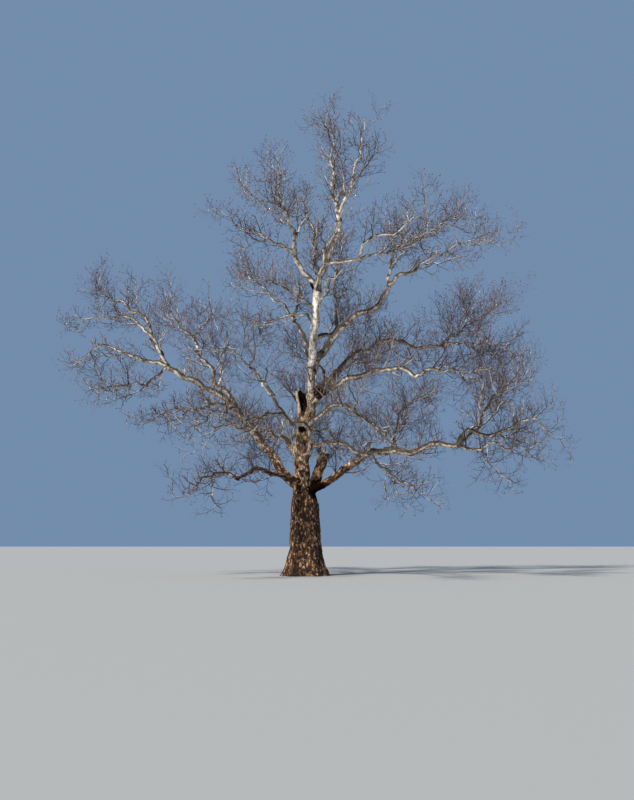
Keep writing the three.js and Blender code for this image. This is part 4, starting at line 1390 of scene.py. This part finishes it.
def bark_material(name):
    """Old bark that gives way to young bark by the paleness on the points."""
    material, add, shade = new_material(name)
    place = add("ShaderNodeTexCoord", "Object")
    pale, crack, plate, under, rot_and_shade, cream = (
        add("ShaderNodeAttribute", "Fac", attribute_name=key)
        for key in ("pale", "crack", "plate", "under", "rot_and_shade", "cream"))
    grain, fine, patch, coarse = (noise(add, place, *settings) for settings in BARK_NOISES.values())
    height = add("ShaderNodeSeparateXYZ", "Z", {"Vector": place})
    old = old_colour(add, plate, crack, grain, coarse, height)
    young = young_colour(add, plate, grain, patch, under, cream)
    shift = (patch - 0.5) * PATCH_SHIFT + (plate - 0.5) * PLATE_SHIFT
    halfway = pale * (1.0 - pale) * 4.0
    sharp = (pale + shift * halfway - CHANGE_AT).held(CHANGE_SHARP)
    # Rot and painted shade: black in the crotches, the seams and the holes of the stubs.
    rotted_and_shaded = (rot_and_shade + (grain - 0.5) * ROT_SHADE_GRAIN - ROT_SHADE_AT).held(ROT_SHADE_SHARP)
    shade({
        "Base Color": mix(add, rotted_and_shaded, mix(add, sharp, old, young), ROT_AND_SHADE_COLOUR),
        "Specular IOR Level": (1.0 - rotted_and_shaded) * BARK_SHEEN,
        "Roughness": OLD_ROUGH - sharp * YOUNG_SMOOTHER,
        "Normal": bump(add, grain + fine * FINE_RELIEF, *BARK_BUMP),
    })
    return material


# %% [markdown]
# Thin branches have no plates. They are cream with brown patches, dark where they face down, partly damp and
# partly painted shade, and darker low in the crown, where a painted shade stands in for the shade there.

# %% Young branches
BRANCH_STOPS = [(0.36, (0.1, 0.072, 0.05)), (0.48, (0.34, 0.275, 0.215)), (0.62, (0.74, 0.66, 0.57))]
DARK_BELOW, DARK_SLOPE, PAINTED_LOW_SHADE = 10.0, 0.16, 0.4
BRANCH_DAMP_SHADE, BRANCH_SHARP = 0.12, 1.8
BRANCH_DAMP_SHADE_COLOUR = (0.035, 0.024, 0.016, 1)
BRANCH_ROUGH = 0.75
BRANCH_PATCH, BRANCH_GRAIN, BRANCH_BUMP = (4.0, 3.0), (30.0, 3.0), (0.005, 0.5)


def branch_material(name):
    """Young bark on thin branches, which have no plates of their own."""
    material, add, shade = new_material(name)
    place = add("ShaderNodeTexCoord", "Object")
    under = add("ShaderNodeAttribute", "Fac", attribute_name="under")
    colour = ramp(add, noise(add, place, *BRANCH_PATCH), BRANCH_STOPS)
    height = add("ShaderNodeSeparateXYZ", "Z", {"Vector": place})
    # Painted shade: darker facing down and low in the crown, with some damp underneath.
    damp_and_shade = under + (DARK_BELOW - height).held(DARK_SLOPE) * PAINTED_LOW_SHADE + BRANCH_DAMP_SHADE
    shade({"Base Color": mix(add, damp_and_shade.held(BRANCH_SHARP), colour, BRANCH_DAMP_SHADE_COLOUR), "Roughness": BRANCH_ROUGH,
           "Normal": bump(add, noise(add, place, *BRANCH_GRAIN), *BRANCH_BUMP)})
    return material


def coat(material, *pieces):
    """Gives each piece the material."""
    for piece in pieces:
        piece.data.materials.append(material)
    print(material.name, "on", ", ".join(piece.name for piece in pieces))


coat(bark_material("plane_bark"), trunk_piece, bough_piece, stub_piece, stem_piece)
coat(branch_material("young_branches"), *branch_pieces)

# %% [markdown]
# ## The finish of the twigs
#
# A twig is thinner than a pixel here, so a pattern on it would never show. Each tint is one plain colour, and
# only its relief has a fine grain.

# %% Twigs, stalks and balls
# Partly the wood's own colours, partly painted light: pale grey for sunlit twigs, near-black for shaded ones.
TWIG_WOOD_AND_PAINTED_LIGHT_COLOURS = {
    ("branchlets", "mauve"): (0.02, 0.013, 0.011),
    ("branchlets", "russet"): (0.07, 0.04, 0.03),
    ("branchlets", "grey"): (0.33, 0.28, 0.235),
    ("twiglets", "mauve"): (0.018, 0.01, 0.011),
    ("twiglets", "russet"): (0.05, 0.02, 0.016),
    ("twiglets", "grey"): (0.12, 0.092, 0.075),
    ("sprays", "mauve"): (0.045, 0.017, 0.024),
    ("sprays", "russet"): (0.12, 0.028, 0.028),
    ("sprays", "grey"): (0.04, 0.022, 0.022),
}
TWIG_GRAIN, TWIG_BUMP = (60.0, 3.0), (0.002, 0.4)


def plain_twig(name, colour, roughness=0.8):
    """One plain colour, with a fine grain in the relief."""
    material, add, shade = new_material(name)
    grain = noise(add, add("ShaderNodeTexCoord", "Object"), *TWIG_GRAIN)
    shade({"Base Color": (*colour, 1), "Roughness": roughness, "Normal": bump(add, grain, *TWIG_BUMP)})
    return material


for (kind, tint), colour in TWIG_WOOD_AND_PAINTED_LIGHT_COLOURS.items():
    coat(plain_twig(f"{kind}_{tint}", colour), twig_pieces[kind, tint])
coat(plain_twig("seed_ball", (0.05, 0.026, 0.017), 0.9), ball_piece)
coat(plain_twig("seed_stalk", (0.12, 0.07, 0.045), 0.85), stalk_piece)
coat(plain_twig("dark_sprout", (0.022, 0.014, 0.012)), sprout_piece)
coat(plain_twig("flower_bud", (0.17, 0.032, 0.04)), bud_piece)

# %% [markdown]
# ## Floor, light and camera
#
# The tree stands on a plain pale floor. A sun from the front and left, a little softer than the real one,
# lights it as in the picture, and a pale sky fills the shadows. The camera stands at eye height, fifty metres
# off, and looks up a little. The picture is 634 by 800 pixels, and its long side matches the sensor's 36 mm.

# %% Floor
FLOOR_HALF = 400.0
FLOOR_COLOUR = (0.36, 0.36, 0.345, 1)
FLOOR_ROUGH = 0.95
corners = np.array([[-1, -1, 0], [1, -1, 0], [1, 1, 0], [-1, 1, 0]], dtype=float) * FLOOR_HALF
floor = make_piece("floor", corners, np.array([[0, 1, 2], [0, 2, 3]]))
floor_material, _, floor_shade = new_material("pale_floor")
floor_shade({"Base Color": FLOOR_COLOUR, "Roughness": FLOOR_ROUGH})
coat(floor_material, floor)

# %% Light
SKY_COLOUR = (0.36, 0.55, 0.86, 1)
SKY_STRENGTH = 0.48
SUN_COLOUR = (1.0, 0.95, 0.87)
SUN_STRENGTH = 5.3
SUN_WIDTH = 5
SUN_FROM_ABOVE = 49
SUN_TURN = -36
world = bpy.data.worlds.new("pale_sky")
bpy.context.scene.world = world
world.use_nodes = True
world.node_tree.nodes["Background"].inputs["Color"].default_value = SKY_COLOUR
world.node_tree.nodes["Background"].inputs["Strength"].default_value = SKY_STRENGTH

sun_data = bpy.data.lights.new("soft_sun", "SUN")
sun_data.energy = SUN_STRENGTH
sun_data.angle = math.radians(SUN_WIDTH)
sun_data.color = SUN_COLOUR
sun = bpy.data.objects.new("soft_sun", sun_data)
sun.rotation_euler = (math.radians(SUN_FROM_ABOVE), 0, math.radians(SUN_TURN))
bpy.context.scene.collection.objects.link(sun)
bpy.context.scene.view_settings.view_transform = "Standard"
print("sun", SUN_STRENGTH, "from", 90 - SUN_FROM_ABOVE, "degrees above level")

# %% Camera
PICTURE = (634, 800)
FOCAL_PIXELS = 1000.0
SENSOR = 36.0
CAMERA_PLACE = (0.6, -50.0, 1.6)
CAMERA_SLOPE = 0.143
camera_data = bpy.data.cameras.new("camera")
camera_data.sensor_width = SENSOR
camera_data.lens = FOCAL_PIXELS * SENSOR / max(PICTURE)
camera_data.clip_end = 5 * FLOOR_HALF
camera = bpy.data.objects.new("camera", camera_data)
camera.location = CAMERA_PLACE
camera.rotation_euler = (math.radians(90) + math.atan(CAMERA_SLOPE), 0, 0)
bpy.context.scene.collection.objects.link(camera)
bpy.context.scene.camera = camera
print("lens of", round(camera_data.lens, 1), "mm")

# %% [markdown]
# ## Joining the frame
#
# Each piece rides on the tree's one body, and the solids that it stands for are hidden.

# %% Riding and replacing
mass_nodes = [f"twigs_{name}" for name in MASSES]
fine_pieces = [*branch_pieces, sprout_piece, *twig_pieces.values()]
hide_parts("trunk")
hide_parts(*[f"bough_{name}" for name in BOUGHS])
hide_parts(*[f"stub_{name}" for name in STUBS])
for piece in (stem_piece, *fine_pieces):
    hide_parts(*mass_nodes)
slots = {trunk_piece: "old_bark", bough_piece: "pale_bark", stub_piece: "old_bark", stem_piece: "pale_bark",
         **{piece: "twig_bark" for piece in (*fine_pieces, ball_piece, stalk_piece, bud_piece)}}
for piece, slot in slots.items():
    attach(piece, "root")
